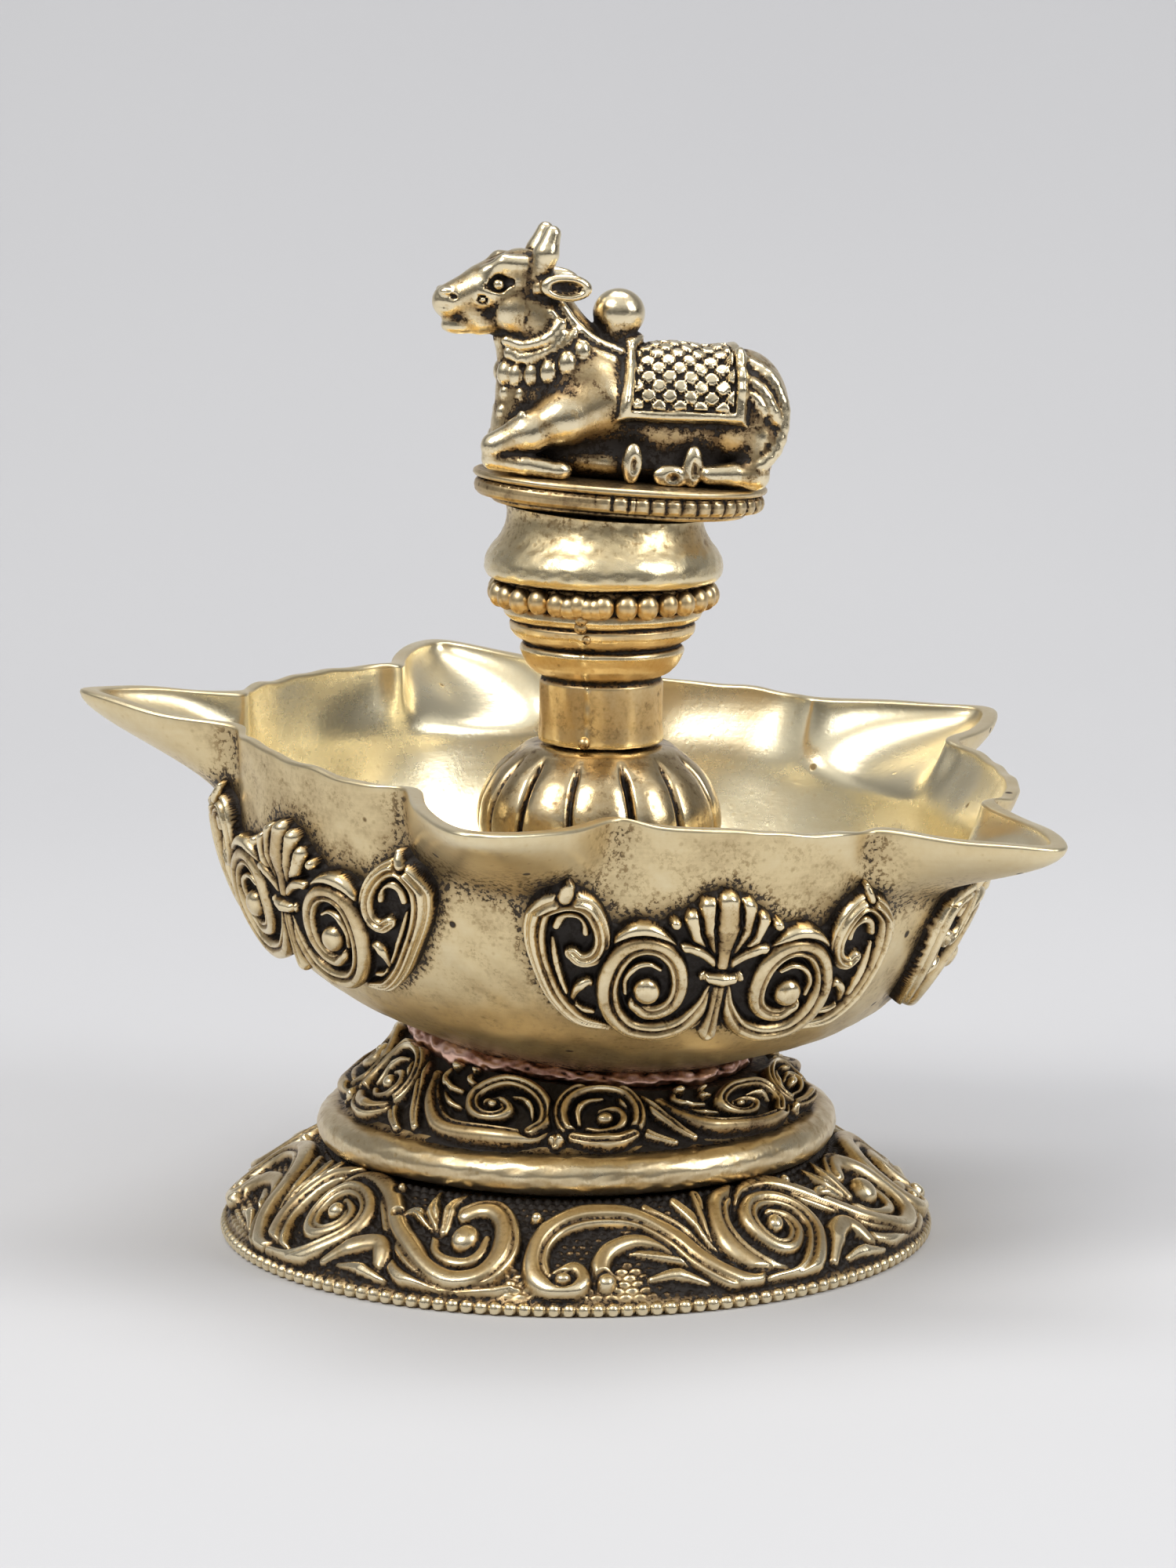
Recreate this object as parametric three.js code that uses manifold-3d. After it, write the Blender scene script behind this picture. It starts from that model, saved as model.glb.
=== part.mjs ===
// Five-wick oil lamp in cast brass: a flared scroll-work foot, a drum pedestal, a bowl with five pinched
// spouts and applied scroll plaques, and a column of stacked castings that carries a seated bull.
// Millimetres, +Z up. The origin lies on the floor under the middle of the foot, and -Y is the front.

import * as THREE from "three";
import { mergeVertices } from "three/addons/utils/BufferGeometryUtils.js";
import Module from "manifold-3d";

const wasm = await Module();
wasm.setup();

const { lerp, clamp, smoothstep, degToRad } = THREE.MathUtils;

// Fits between pieces
const SEAT_GAP = 0.3; // between two castings that sit on each other
const PLAQUE_GAP = 0.75; // between the bowl's wall and the back of a plaque
const BORE_CLEARANCE = 0.7; // round the tie stud where it passes through a casting
const OVERRUN = 4; // how far a cutting body runs past what it cuts

// Foot
const FOOT_RADIUS = 44.4;
const FOOT_EDGE_HEIGHT = 1.6;
const FOOT_EDGE_STEP = 1.5; // from the beaded edge in to where the slope starts
const FOOT_HEIGHT = 10.5;
const FOOT_TOP_RADIUS = 30.4;
const FOOT_BORE_RADIUS = 24;
const FOOT_WALL = 2.2;
const FOOT_RIM_WIDTH = 3.6; // flat ring that the lamp stands on
const FOOT_SLOPE_CROWN = 0.5; // how far the slope swells above a straight line
const FOOT_BEAD_RADIUS = 0.75;
const FOOT_SCROLL_WIDTH = 2.1;
const FOOT_SCROLL_RISE = 1.7;
const FOOT_LEAF_WIDTH = 1.7;
const FOOT_EYE_RADIUS = 1.9;
const FOOT_REPEATS = 4;
const FOOT_SCROLL_TURN = degToRad(-3);

// Pedestal: a torus ring below a slanting drum
const RING_RADIUS = 30;
const RING_TUBE = 2.45;
const RING_HEIGHT = 13.6;
const NECKING_RADIUS = 28.7; // groove between the ring and the foot
const DRUM_BASE_RADIUS = 28.8;
const DRUM_TOP_RADIUS = 20.9;
const DRUM_TOP_HEIGHT = 26.4; // before the top is cut to the bowl's slant
const DRUM_BORE_RADIUS = 16;
const DECK_HEIGHT = 16; // underside of the deck that the tie stud passes through
const DRUM_SCROLL_WIDTH = 1.8;
const DRUM_SCROLL_RISE = 1.7;
const DRUM_LEAF_WIDTH = 3.2;
const DRUM_EYE_RADIUS = 1.3;
const DRUM_REPEATS = 5;
const DRUM_SCROLL_TURN = degToRad(-50);

// Bowl, which was brazed on a little out of level
const BOWL_SHIFT = 0.6; // towards +X
const BOWL_BASE_HEIGHT = 25;
const BOWL_SIDE_TILT = degToRad(5.4); // right side down
const BOWL_FRONT_TILT = degToRad(1.5); // front down
const BOWL_BASE_RADIUS = 20.9;
const BOWL_RIM_RADIUS = 48.6;
const BOWL_DEPTH = 36;
const BOWL_WALL = 1.5;
const BOWL_FLOOR = 2.2;
const SPOUT_REACH = 15.4; // how far a spout's tip runs out past the rim
const SPOUT_DEPTH = 10.6; // from the rim down to where a spout leaves the wall
const SPOUT_LIP = 2.3; // solid metal between the channel's end and the tip
const CHANNEL_DEPTH = 8.5;
const NOTCH_DIP = 1.3; // how far the rim draws in beside a spout
const RIM_SWELL = 2.2; // how much wider the rim was hammered on one side
const RIM_SWELL_TURN = degToRad(108);
const TIP_DROOP = 0.9; // how far a tip that was bent by hand lies off the rim's plane
const SPOUT_COUNT = 5;
const SPOUT_HALF_ANGLE = degToRad(15.5);
const CHANNEL_HALF_ANGLE = degToRad(13.8);
const SPOUT_FIRST = degToRad(-14.6);

// Braze collar between the pedestal and the bowl
const COLLAR_RADIUS = 21.4;
const COLLAR_BORE_RADIUS = 16.5;
const COLLAR_THICKNESS = 1.3;

// Scroll plaques on the bowl, midway between the spouts
const PLAQUE_BOTTOM_SHARE = 0.483; // of the wall's length, up from the bowl's base
const PLAQUE_HEIGHT_SHARE = 0.397; // of the wall's length
const PLAQUE_WIDTH_SHARE = 2.34; // of the plaque's height
const PLAQUE_PLATE = 0.8;
const PLAQUE_RISE = 2.9;
const PLAQUE_BAND_WIDTH = 2.2;
const PLAQUE_LEAF_WIDTH = 2.6;
const PLAQUE_FAN_WIDTH = 7;
const PLAQUE_EYE_RADIUS = 1.8;
const PLAQUE_TURN = degToRad(-2);

// Column, which leans a little
const COLUMN_SHIFT = 1.82; // towards +X at the floor
const COLUMN_LEAN = degToRad(1.05);
const STUD_RADIUS = 2;
const STUD_BOTTOM = 9.4;
const STUD_TOP = 89.4;
const WASHER_RADIUS = 6;
const WASHER_THICKNESS = 1;
const NUT_RADIUS = 4.04;
const NUT_HEIGHT = 3.2;

const BASE_FLANGE_RADIUS = 13;
const BASE_FLANGE_HEIGHT = 2.6;
const BASE_STEM_RADIUS = 7.4;
const BASE_CUP_RADIUS = 9.6;
const KNOP_BOTTOM = 42.2;
const KNOP_TOP = 61.1;
const KNOP_RADIUS = 15.2;
const KNOP_GROOVE = 1.1;
const KNOP_LOBES = 12;
const KNOP_TURN = degToRad(15);
const NECK_RADIUS = 7.62;
const NECK_TOP = 69.2;
const CUP_TOP = 78.4;
const CUP_RADIUS = 11.7;
const BEAD_RING_RADIUS = 13.3;
const BEAD_HALF_WIDTH = 1.4;
const BEAD_HALF_HEIGHT = 1.65;
const BEAD_CENTRE_HEIGHT = 79.9;
const BEAD_COUNT = 29;
const NECK_CASTING_TOP = 81.5;
const BELL_RADIUS = 14.7;
const BELL_TOP = 93;
const BELL_WAIST_RADIUS = 11.4;

// Plinth and bull, set on the bell out of level and turned a little to the front
const FIGURE_SHIFT = 1.9; // from the column's axis to the middle of the plinth
const FIGURE_HEIGHT = 94.3; // top face of the plinth
const FIGURE_TILT = degToRad(3.6); // on top of the column's lean
const FIGURE_YAW = degToRad(9);
const PLINTH_LENGTH = 36.4;
const PLINTH_WIDTH = 25;
const PLINTH_THICKNESS = 2.8;
const LEDGE_LENGTH = 30;
const LEDGE_WIDTH = 21;
const LEDGE_THICKNESS = 1.2;
const BULL_HEIGHT = 30.2;

// Facets
const TURNED_SIDES = 36;
const COLUMN_SIDES = 28;
const SMALL_SIDES = 16;
const STEPS_PER_PLACE = 0.56; // along a band
const TINY_SHARE = 0.05; // of a wall, for the step that finds a surface's slope

// Helpers

function polar(azimuth, radius, height) {
  return new THREE.Vector3(radius * Math.sin(azimuth), -radius * Math.cos(azimuth), height);
}

// A closed skin over rings of points. Each ring runs anticlockwise round the way from ring to ring.
function skin(rings, capped = true) {
  const count = rings[0].length;
  const index = [];
  const bands = capped ? rings.length - 1 : rings.length;
  for (let ring = 0; ring < bands; ring++) {
    const low = ring * count;
    const high = ((ring + 1) % rings.length) * count;
    for (let side = 0; side < count; side++) {
      const next = (side + 1) % count;
      index.push(low + side, low + next, high + next, low + side, high + next, high + side);
    }
  }
  if (capped) {
    const last = (rings.length - 1) * count;
    for (let side = 1; side < count - 1; side++) {
      index.push(0, side + 1, side, last, last + side, last + side + 1);
    }
  }
  const geometry = new THREE.BufferGeometry().setFromPoints(rings.flat());
  geometry.setIndex(index);
  return geometry;
}

// A turned piece: the outline's points are [radius, height], and it closes on itself round a bore.
function turned(outline, sides = TURNED_SIDES) {
  const rings = outline.map(([radius, height]) =>
    Array.from({ length: sides }, (_, side) => polar((2 * Math.PI * side) / sides, radius, height)),
  );
  return skin(rings, false);
}

function ball(centre, radii, sides = 8, rows = 6) {
  return new THREE.SphereGeometry(1, sides, rows).scale(...radii).translate(...centre);
}

function solidOf(geometry) {
  const bare = geometry.clone();
  bare.deleteAttribute("normal");
  bare.deleteAttribute("uv");
  const merged = mergeVertices(bare);
  return new wasm.Manifold(
    new wasm.Mesh({
      numProp: 3,
      vertProperties: merged.attributes.position.array,
      triVerts: new Uint32Array(merged.index.array),
    }),
  );
}

function geometryOf(solid) {
  const { numProp, vertProperties, triVerts } = solid.getMesh();
  const positions = new Float32Array((vertProperties.length / numProp) * 3);
  for (let vertex = 0; vertex < positions.length / 3; vertex++) {
    positions.set(vertProperties.subarray(vertex * numProp, vertex * numProp + 3), vertex * 3);
  }
  return new THREE.BufferGeometry()
    .setAttribute("position", new THREE.BufferAttribute(positions, 3))
    .setIndex(new THREE.BufferAttribute(triVerts, 1));
}

function joined(geometries) {
  return geometryOf(geometries.map(solidOf).reduce((sum, solid) => sum.add(solid)));
}

function cutBy(geometry, ...tools) {
  return geometryOf(tools.map(solidOf).reduce((rest, tool) => rest.subtract(tool), solidOf(geometry)));
}

// Everything above or below a level plane, out to a reach: a body to cut with
function halfSpace(level, reach, upwards) {
  const side = upwards ? 1 : -1;
  return new THREE.BoxGeometry(2 * reach, 2 * reach, reach).translate(0, 0, level + (side * reach) / 2);
}

// A line of [across, up] points that can be walked by distance from its first point
function walk(points) {
  const ends = [0];
  for (let i = 1; i < points.length; i++) {
    ends.push(ends[i - 1] + Math.hypot(points[i][0] - points[i - 1][0], points[i][1] - points[i - 1][1]));
  }
  const length = ends[ends.length - 1];
  function at(distance) {
    let i = 1;
    while (i < points.length - 1 && ends[i] < distance) i++;
    const share = (distance - ends[i - 1]) / (ends[i] - ends[i - 1]);
    return [lerp(points[i - 1][0], points[i][0], share), lerp(points[i - 1][1], points[i][1], share)];
  }
  return { length, at, ends };
}

// Turns a skin given as point(u, v) into surface(u, v, out), which stands out from it along its normal.
// The seat is the faceted skin, where it differs from the smooth one.
function surfaceOver(point, unit, seat = point) {
  return (u, v, out) => {
    const here = point(u, v);
    const right = point(u + unit, v).sub(here);
    const up = point(u, v + unit).sub(here);
    return seat(u, v).addScaledVector(right.cross(up).normalize(), out);
  };
}

// Cross-section of a raised band: [side, up], sunk into the ground that it grows from
const STRIP_SHARES = [[1, -0.17], [0.55, 1], [-0.55, 1], [-1, -0.17]];
const RIDGE_SHARES = [[1, -0.17], [0, 1], [-1, -0.17]];
const BAND_WIDTH_SHARES = [0.45, 1, 1, 1, 0.7];
const LEAF_WIDTH_SHARES = [0.45, 1, 0.85, 0.3];

// A raised band along a line of [u, v] places on a surface
function band(surface, line, { width, rise, section = STRIP_SHARES, widths = BAND_WIDTH_SHARES }) {
  const curve = new THREE.CatmullRomCurve3(line.map(([u, v]) => new THREE.Vector3(u, v, 0)));
  const steps = Math.ceil(line.length * STEPS_PER_PLACE);
  const rings = [];
  for (let step = 0; step <= steps; step++) {
    const share = step / steps;
    const here = curve.getPoint(share);
    const way = curve.getTangent(share);
    const place = share * (widths.length - 1);
    const left = Math.min(Math.floor(place), widths.length - 2);
    const half = (width / 2) * lerp(widths[left], widths[left + 1], place - left);
    rings.push(
      section.map(([side, up]) =>
        surface(here.x - way.y * half * side, here.y + way.x * half * side, rise * up),
      ),
    );
  }
  return skin(rings);
}

// Places along a volute that winds in round its eye
function volute([u, v], outer, inner, start, turns, count) {
  return Array.from({ length: count }, (_, i) => {
    const share = i / (count - 1);
    const angle = start + turns * 2 * Math.PI * share;
    const radius = lerp(outer, inner, share);
    return [u + radius * Math.cos(angle), v + radius * Math.sin(angle)];
  });
}

function scaledLine(shares, width, height) {
  return shares.map(([u, v]) => [u * width, v * height]);
}

function named(name, geometry, material) {
  geometry.computeVertexNormals();
  const mesh = new THREE.Mesh(geometry, material);
  mesh.name = name;
  return mesh;
}

// Materials

const metal = (color, roughness) => new THREE.MeshStandardMaterial({ color, roughness, metalness: 1 });
const brass = () => metal(0xb8985a, 0.38);
const polishedBrass = () => metal(0xd8bd74, 0.24);
const darkBrass = () => metal(0x8a6a3c, 0.5);
const braze = () => metal(0xb5745a, 0.45);
const steel = () => metal(0x9a9a96, 0.4);

// The lamp's groups: each holds what was set up square together

const lamp = new THREE.Group();
const bowlGroup = new THREE.Group();
bowlGroup.position.set(BOWL_SHIFT, 0, BOWL_BASE_HEIGHT);
bowlGroup.rotation.set(BOWL_FRONT_TILT, BOWL_SIDE_TILT, 0, "YXZ");
const columnGroup = new THREE.Group();
columnGroup.position.set(COLUMN_SHIFT, 0, 0);
columnGroup.rotation.y = COLUMN_LEAN;
const figureGroup = new THREE.Group();
figureGroup.position.set(FIGURE_SHIFT, 0, FIGURE_HEIGHT);
figureGroup.rotation.set(0, FIGURE_TILT, FIGURE_YAW, "YXZ");
lamp.add(bowlGroup, columnGroup);
columnGroup.add(figureGroup);
lamp.updateMatrixWorld(true);

// A body given in one group's frame, moved into another's
function moved(geometry, from, to) {
  const matrix = to.matrixWorld.clone().invert().multiply(from.matrixWorld);
  return geometry.applyMatrix4(matrix);
}

function studBore(to) {
  const height = STUD_TOP - STUD_BOTTOM + 2 * OVERRUN;
  const tool = new THREE.CylinderGeometry(
    STUD_RADIUS + BORE_CLEARANCE,
    STUD_RADIUS + BORE_CLEARANCE,
    height,
    SMALL_SIDES,
  );
  tool.rotateX(Math.PI / 2).translate(0, 0, (STUD_TOP + STUD_BOTTOM) / 2);
  return moved(tool, columnGroup, to);
}

// Foot: scroll-work, in shares of one repeat's arc and of the slope's length
const FOOT_ARCH_SHARES = [
  [-0.013, 0.24], [-0.035, 0.16], [-0.067, 0.23], [-0.076, 0.42], [-0.048, 0.65], [0.01, 0.83],
  [0.072, 0.88], [0.135, 0.8], [0.19, 0.62], [0.245, 0.38], [0.31, 0.13], [0.37, 0.02],
  [0.44, 0.03], [0.492, 0.16], [0.52, 0.4], [0.513, 0.68], [0.47, 0.87], [0.415, 0.87],
  [0.372, 0.7], [0.376, 0.5], [0.418, 0.39], [0.455, 0.46],
];
const FOOT_STALK_SHARES = [
  [0.5, 0.82], [0.55, 0.64], [0.605, 0.4], [0.66, 0.2], [0.72, 0.12], [0.775, 0.2],
  [0.815, 0.38], [0.81, 0.6], [0.77, 0.75], [0.73, 0.68],
];
const FOOT_CURL_SHARES = [
  [0.022, 0.2], [0.012, 0.35], [0.046, 0.53], [0.105, 0.6], [0.165, 0.5], [0.21, 0.34],
];
const FOOT_LEAVES_SHARES = [
  [[0.16, 0.93], [0.21, 0.78], [0.25, 0.5], [0.3, 0.2]],
  [[0.26, 0.94], [0.285, 0.62], [0.33, 0.25]],
  [[0.395, 0.96], [0.345, 0.82], [0.33, 0.52], [0.345, 0.28]],
  [[0.49, 0.13], [0.53, 0.35], [0.585, 0.38], [0.6, 0.22]],
];
const FOOT_EYES_SHARES = [[-0.03, 0.28], [0.026, 0.27], [0.44, 0.55], [0.762, 0.53]];
const FOOT_GROUND_SHARES = [0, 0.5, 1];
const FOOT_SCROLL = { width: FOOT_SCROLL_WIDTH, rise: FOOT_SCROLL_RISE, section: RIDGE_SHARES };
const FOOT_LEAF = { ...FOOT_SCROLL, width: FOOT_LEAF_WIDTH, widths: LEAF_WIDTH_SHARES };

function footSlopeAt(share) {
  return [
    lerp(FOOT_RADIUS - FOOT_EDGE_STEP, FOOT_TOP_RADIUS, share),
    lerp(FOOT_EDGE_HEIGHT, FOOT_HEIGHT, share) + FOOT_SLOPE_CROWN * Math.sin(Math.PI * share),
  ];
}

function footBody() {
  const slope = FOOT_GROUND_SHARES.map(footSlopeAt);
  const underside = FOOT_GROUND_SHARES.slice(1).reverse();
  return turned([
    [FOOT_RADIUS - FOOT_RIM_WIDTH, 0],
    [FOOT_RADIUS, 0],
    [FOOT_RADIUS, FOOT_EDGE_HEIGHT],
    ...slope,
    [FOOT_BORE_RADIUS, FOOT_HEIGHT],
    [FOOT_BORE_RADIUS, FOOT_HEIGHT - FOOT_WALL],
    ...underside.map(footSlopeAt).map(([radius, height]) => [radius - FOOT_WALL, height - FOOT_WALL]),
  ]);
}

function foot() {
  const line = walk(FOOT_GROUND_SHARES.map(footSlopeAt));
  const arc = (2 * Math.PI) / FOOT_REPEATS;
  const middleRadius = (FOOT_RADIUS + FOOT_TOP_RADIUS) / 2;
  const pieces = [footBody()];
  for (let repeat = 0; repeat < FOOT_REPEATS; repeat++) {
    const start = FOOT_SCROLL_TURN + repeat * arc;
    const ground = (u, v) => {
      const [radius, height] = line.at(v);
      return polar(start + u / middleRadius, radius, height);
    };
    const surface = surfaceOver(ground, FOOT_WALL * TINY_SHARE);
    const place = (shares) => scaledLine(shares, arc * middleRadius, line.length);
    for (const scroll of [FOOT_ARCH_SHARES, FOOT_STALK_SHARES, FOOT_CURL_SHARES]) {
      pieces.push(band(surface, place(scroll), FOOT_SCROLL));
    }
    for (const leaf of FOOT_LEAVES_SHARES) {
      pieces.push(band(surface, place(leaf), FOOT_LEAF));
    }
    for (const [u, v] of place(FOOT_EYES_SHARES)) {
      const radii = Array(3).fill(FOOT_EYE_RADIUS);
      pieces.push(ball(surface(u, v, 0).toArray(), radii, 6, 3));
    }
  }
  return joined(pieces);
}

// Pedestal: the drum's scroll gallery, in shares of one repeat's arc and of the drum's slope
const DRUM_STALK_SHARES = [
  [0.06, 0.86], [0.1, 0.6], [0.155, 0.38], [0.25, 0.27], [0.39, 0.22], [0.53, 0.27],
  [0.557, 0.51], [0.53, 0.77], [0.447, 0.92], [0.364, 0.93], [0.28, 0.83], [0.257, 0.64],
  [0.294, 0.5], [0.364, 0.46], [0.413, 0.55], [0.404, 0.68],
];
const DRUM_RING_SHARES = [
  [0.98, 0.3], [0.933, 0.56], [0.85, 0.8], [0.765, 0.9], [0.658, 0.86], [0.606, 0.66],
  [0.609, 0.43], [0.667, 0.26], [0.77, 0.21], [0.853, 0.27], [0.884, 0.47], [0.85, 0.65], [0.795, 0.7],
];
const DRUM_LEAF_SHARES = [[-0.015, 0.88], [0, 0.6], [0.015, 0.15]];
const DRUM_EYES_SHARES = [[0.35, 0.62], [0.772, 0.58]];
const DRUM_SCROLL = { width: DRUM_SCROLL_WIDTH, rise: DRUM_SCROLL_RISE, section: RIDGE_SHARES };
const DRUM_LEAF = { ...DRUM_SCROLL, width: DRUM_LEAF_WIDTH, widths: LEAF_WIDTH_SHARES };

function drumSlopeAt(share) {
  return [
    lerp(DRUM_BASE_RADIUS, DRUM_TOP_RADIUS, share),
    lerp(RING_HEIGHT + RING_TUBE, DRUM_TOP_HEIGHT, share),
  ];
}

function pedestalBody() {
  const ring = [];
  const ringSteps = 5;
  for (let step = 0; step <= ringSteps; step++) {
    const angle = lerp(-Math.PI / 2, Math.PI / 2, step / ringSteps);
    ring.push([RING_RADIUS + RING_TUBE * Math.cos(angle), RING_HEIGHT + RING_TUBE * Math.sin(angle)]);
  }
  const bottom = FOOT_HEIGHT + SEAT_GAP;
  return turned([
    [FOOT_BORE_RADIUS, bottom],
    [NECKING_RADIUS, bottom],
    [NECKING_RADIUS, RING_HEIGHT - RING_TUBE],
    ...ring,
    [DRUM_BASE_RADIUS, RING_HEIGHT + RING_TUBE],
    drumSlopeAt(0.5),
    drumSlopeAt(1),
    [STUD_RADIUS + BORE_CLEARANCE, DRUM_TOP_HEIGHT],
    [STUD_RADIUS + BORE_CLEARANCE, DECK_HEIGHT],
    [DRUM_BORE_RADIUS, DECK_HEIGHT],
  ]);
}

function pedestal() {
  const line = walk([drumSlopeAt(0), drumSlopeAt(1)]);
  const arc = (2 * Math.PI) / DRUM_REPEATS;
  const middleRadius = (DRUM_BASE_RADIUS + DRUM_TOP_RADIUS) / 2;
  const pieces = [pedestalBody()];
  for (let repeat = 0; repeat < DRUM_REPEATS; repeat++) {
    const start = DRUM_SCROLL_TURN + repeat * arc;
    const ground = (u, v) => {
      const [radius, height] = line.at(v);
      return polar(start + u / middleRadius, radius, height);
    };
    const surface = surfaceOver(ground, RING_TUBE * TINY_SHARE);
    const place = (shares) => scaledLine(shares, arc * middleRadius, line.length);
    pieces.push(band(surface, place(DRUM_STALK_SHARES), DRUM_SCROLL));
    pieces.push(band(surface, place(DRUM_RING_SHARES), DRUM_SCROLL));
    pieces.push(band(surface, place(DRUM_LEAF_SHARES), DRUM_LEAF));
    for (const [u, v] of place(DRUM_EYES_SHARES)) {
      const radii = Array(3).fill(DRUM_EYE_RADIUS);
      pieces.push(ball(surface(u, v, 0).toArray(), radii, 6, 3));
    }
  }
  const slant = halfSpace(-(COLLAR_THICKNESS + 2 * SEAT_GAP), FOOT_RADIUS, true);
  return cutBy(joined(pieces), moved(slant, bowlGroup, lamp), studBore(lamp));
}

// Bowl: its outer wall from the base up to the rim, in shares of its depth and of its spread
const WALL_SHARES = [
  [0, 0], [0.112, 0.038], [0.271, 0.089], [0.4, 0.136], [0.516, 0.187], [0.617, 0.252], [0.702, 0.327],
  [0.783, 0.423], [0.856, 0.542], [0.913, 0.678], [0.94, 0.77], [0.963, 0.85], [0.982, 0.925], [1, 1],
];
// Where each spout stands off its even place, as a share of the angle between spouts, how far it reaches
// and how its tip was bent
const SPOUT_SHARES = [
  { turn: 0, reach: 1, lift: 0 },
  { turn: -0.02, reach: 0.94, lift: -0.2 },
  { turn: 0.03, reach: 1.06, lift: 1 },
  { turn: 0, reach: 0.99, lift: 0.4 },
  { turn: -0.012, reach: 1.09, lift: 1.6 },
];
const SPOUT_PITCH = (2 * Math.PI) / SPOUT_COUNT;
const SPOUTS = SPOUT_SHARES.map(({ turn, reach, lift }, i) => ({
  azimuth: SPOUT_FIRST + (i + turn) * SPOUT_PITCH,
  reach: reach * SPOUT_REACH,
  lift: lift * TIP_DROOP,
}));
const TIP_ROUNDING_SHARE = 0.1;
const NOTCH_SPREAD_SHARE = 1 / 3;
const COLUMN_OFFSET_SHARES = [-1, -0.62, -0.28, 0, 0.28, 0.62, 1];
const PANEL_COLUMNS = 3;

const bowlWall = walk(
  WALL_SHARES.map(([out, up]) => [lerp(BOWL_BASE_RADIUS, BOWL_RIM_RADIUS, out), BOWL_DEPTH * up]),
);

// How much of a spout's pinch an azimuth has, 1 at its middle and 0 beside it, and how near it is to a notch
function pinch(azimuth, spout, halfAngle) {
  const turn = 2 * Math.PI;
  const off = Math.abs(((azimuth - spout.azimuth + turn * 1.5) % turn) - turn / 2) / halfAngle;
  const share = Math.max(0, (1 - Math.hypot(off, TIP_ROUNDING_SHARE)) / (1 - TIP_ROUNDING_SHARE));
  const notch = Math.max(0, 1 - Math.abs(off - 1) / NOTCH_SPREAD_SHARE);
  return { share, notch };
}

function rimSwell(azimuth) {
  return RIM_SWELL * Math.max(0, Math.cos(azimuth - RIM_SWELL_TURN));
}

// A point on the bowl's outside, in its own frame, at a distance along the wall from the base
function bowlOutside(azimuth, distance) {
  let [radius, height] = bowlWall.at(distance);
  const down = BOWL_DEPTH - height;
  const hold = 1 - smoothstep(down, 0, SPOUT_DEPTH);
  let lift = 0;
  radius += rimSwell(azimuth) * hold;
  for (const spout of SPOUTS) {
    const { share, notch } = pinch(azimuth, spout, SPOUT_HALF_ANGLE);
    radius += (share * spout.reach - notch * NOTCH_DIP) * hold;
    lift += share * spout.lift * hold;
  }
  return polar(azimuth, radius, height + lift);
}

// The matching point on the inside, one wall further in
function bowlInside(azimuth, distance) {
  const step = BOWL_WALL * TINY_SHARE;
  const [radius, height] = bowlWall.at(distance);
  const [nextRadius, nextHeight] = bowlWall.at(distance + step);
  const run = Math.hypot(nextRadius - radius, nextHeight - height);
  const leanShare = smoothstep(BOWL_DEPTH - height, 0, CHANNEL_DEPTH);
  let inner = radius - lerp(BOWL_WALL, (BOWL_WALL * (nextHeight - height)) / run, leanShare);
  let level = height + lerp(0, (BOWL_WALL * (nextRadius - radius)) / run, leanShare);
  const hold = 1 - leanShare;
  inner += rimSwell(azimuth) * hold;
  for (const spout of SPOUTS) {
    const { share, notch } = pinch(azimuth, spout, CHANNEL_HALF_ANGLE);
    inner += (share * (spout.reach - SPOUT_LIP + BOWL_WALL) - notch * NOTCH_DIP) * hold;
    level += share * spout.lift * hold;
  }
  return polar(azimuth, inner, level);
}

function bowlAzimuths() {
  const azimuths = [];
  SPOUTS.forEach((spout, i) => {
    COLUMN_OFFSET_SHARES.forEach((share) => azimuths.push(spout.azimuth + share * SPOUT_HALF_ANGLE));
    const next = i + 1 < SPOUTS.length ? SPOUTS[i + 1].azimuth : SPOUTS[0].azimuth + 2 * Math.PI;
    const from = spout.azimuth + SPOUT_HALF_ANGLE;
    const to = next - SPOUT_HALF_ANGLE;
    for (let step = 1; step <= PANEL_COLUMNS; step++) {
      azimuths.push(lerp(from, to, step / (PANEL_COLUMNS + 1)));
    }
  });
  return azimuths;
}

const BOWL_AZIMUTHS = bowlAzimuths();

// A place on the bowl's faceted outside, between its four nearest corners
function bowlFacet(azimuth, distance) {
  const turn = 2 * Math.PI;
  const first = BOWL_AZIMUTHS[0];
  const wrapped = first + ((((azimuth - first) % turn) + turn) % turn);
  const right = BOWL_AZIMUTHS.findIndex((place) => place > wrapped);
  const from = right < 0 ? BOWL_AZIMUTHS[BOWL_AZIMUTHS.length - 1] : BOWL_AZIMUTHS[right - 1];
  const to = right < 0 ? first + turn : BOWL_AZIMUTHS[right];
  const row = clamp(bowlWall.ends.findIndex((end) => end > distance), 1, bowlWall.ends.length - 1);
  const [low, high] = [bowlWall.ends[row - 1], bowlWall.ends[row]];
  const across = (wrapped - from) / (to - from);
  const along = (height) => bowlOutside(from, height).lerp(bowlOutside(to, height), across);
  return along(low).lerp(along(high), (distance - low) / (high - low));
}

function bowl() {
  const rowAt = (point, distance) => BOWL_AZIMUTHS.map((azimuth) => point(azimuth, distance));
  const outside = bowlWall.ends.map((distance) => rowAt(bowlOutside, distance));
  const insideRows = bowlWall.ends.filter((_, i) => i > 1 && i !== 3 && i !== 5).reverse();
  const inside = insideRows.map((distance) => rowAt(bowlInside, distance));
  const floor = rowAt((azimuth) => polar(azimuth, BOWL_BASE_RADIUS, BOWL_FLOOR));
  return cutBy(skin([...outside, ...inside, floor]), studBore(bowlGroup));
}

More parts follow.
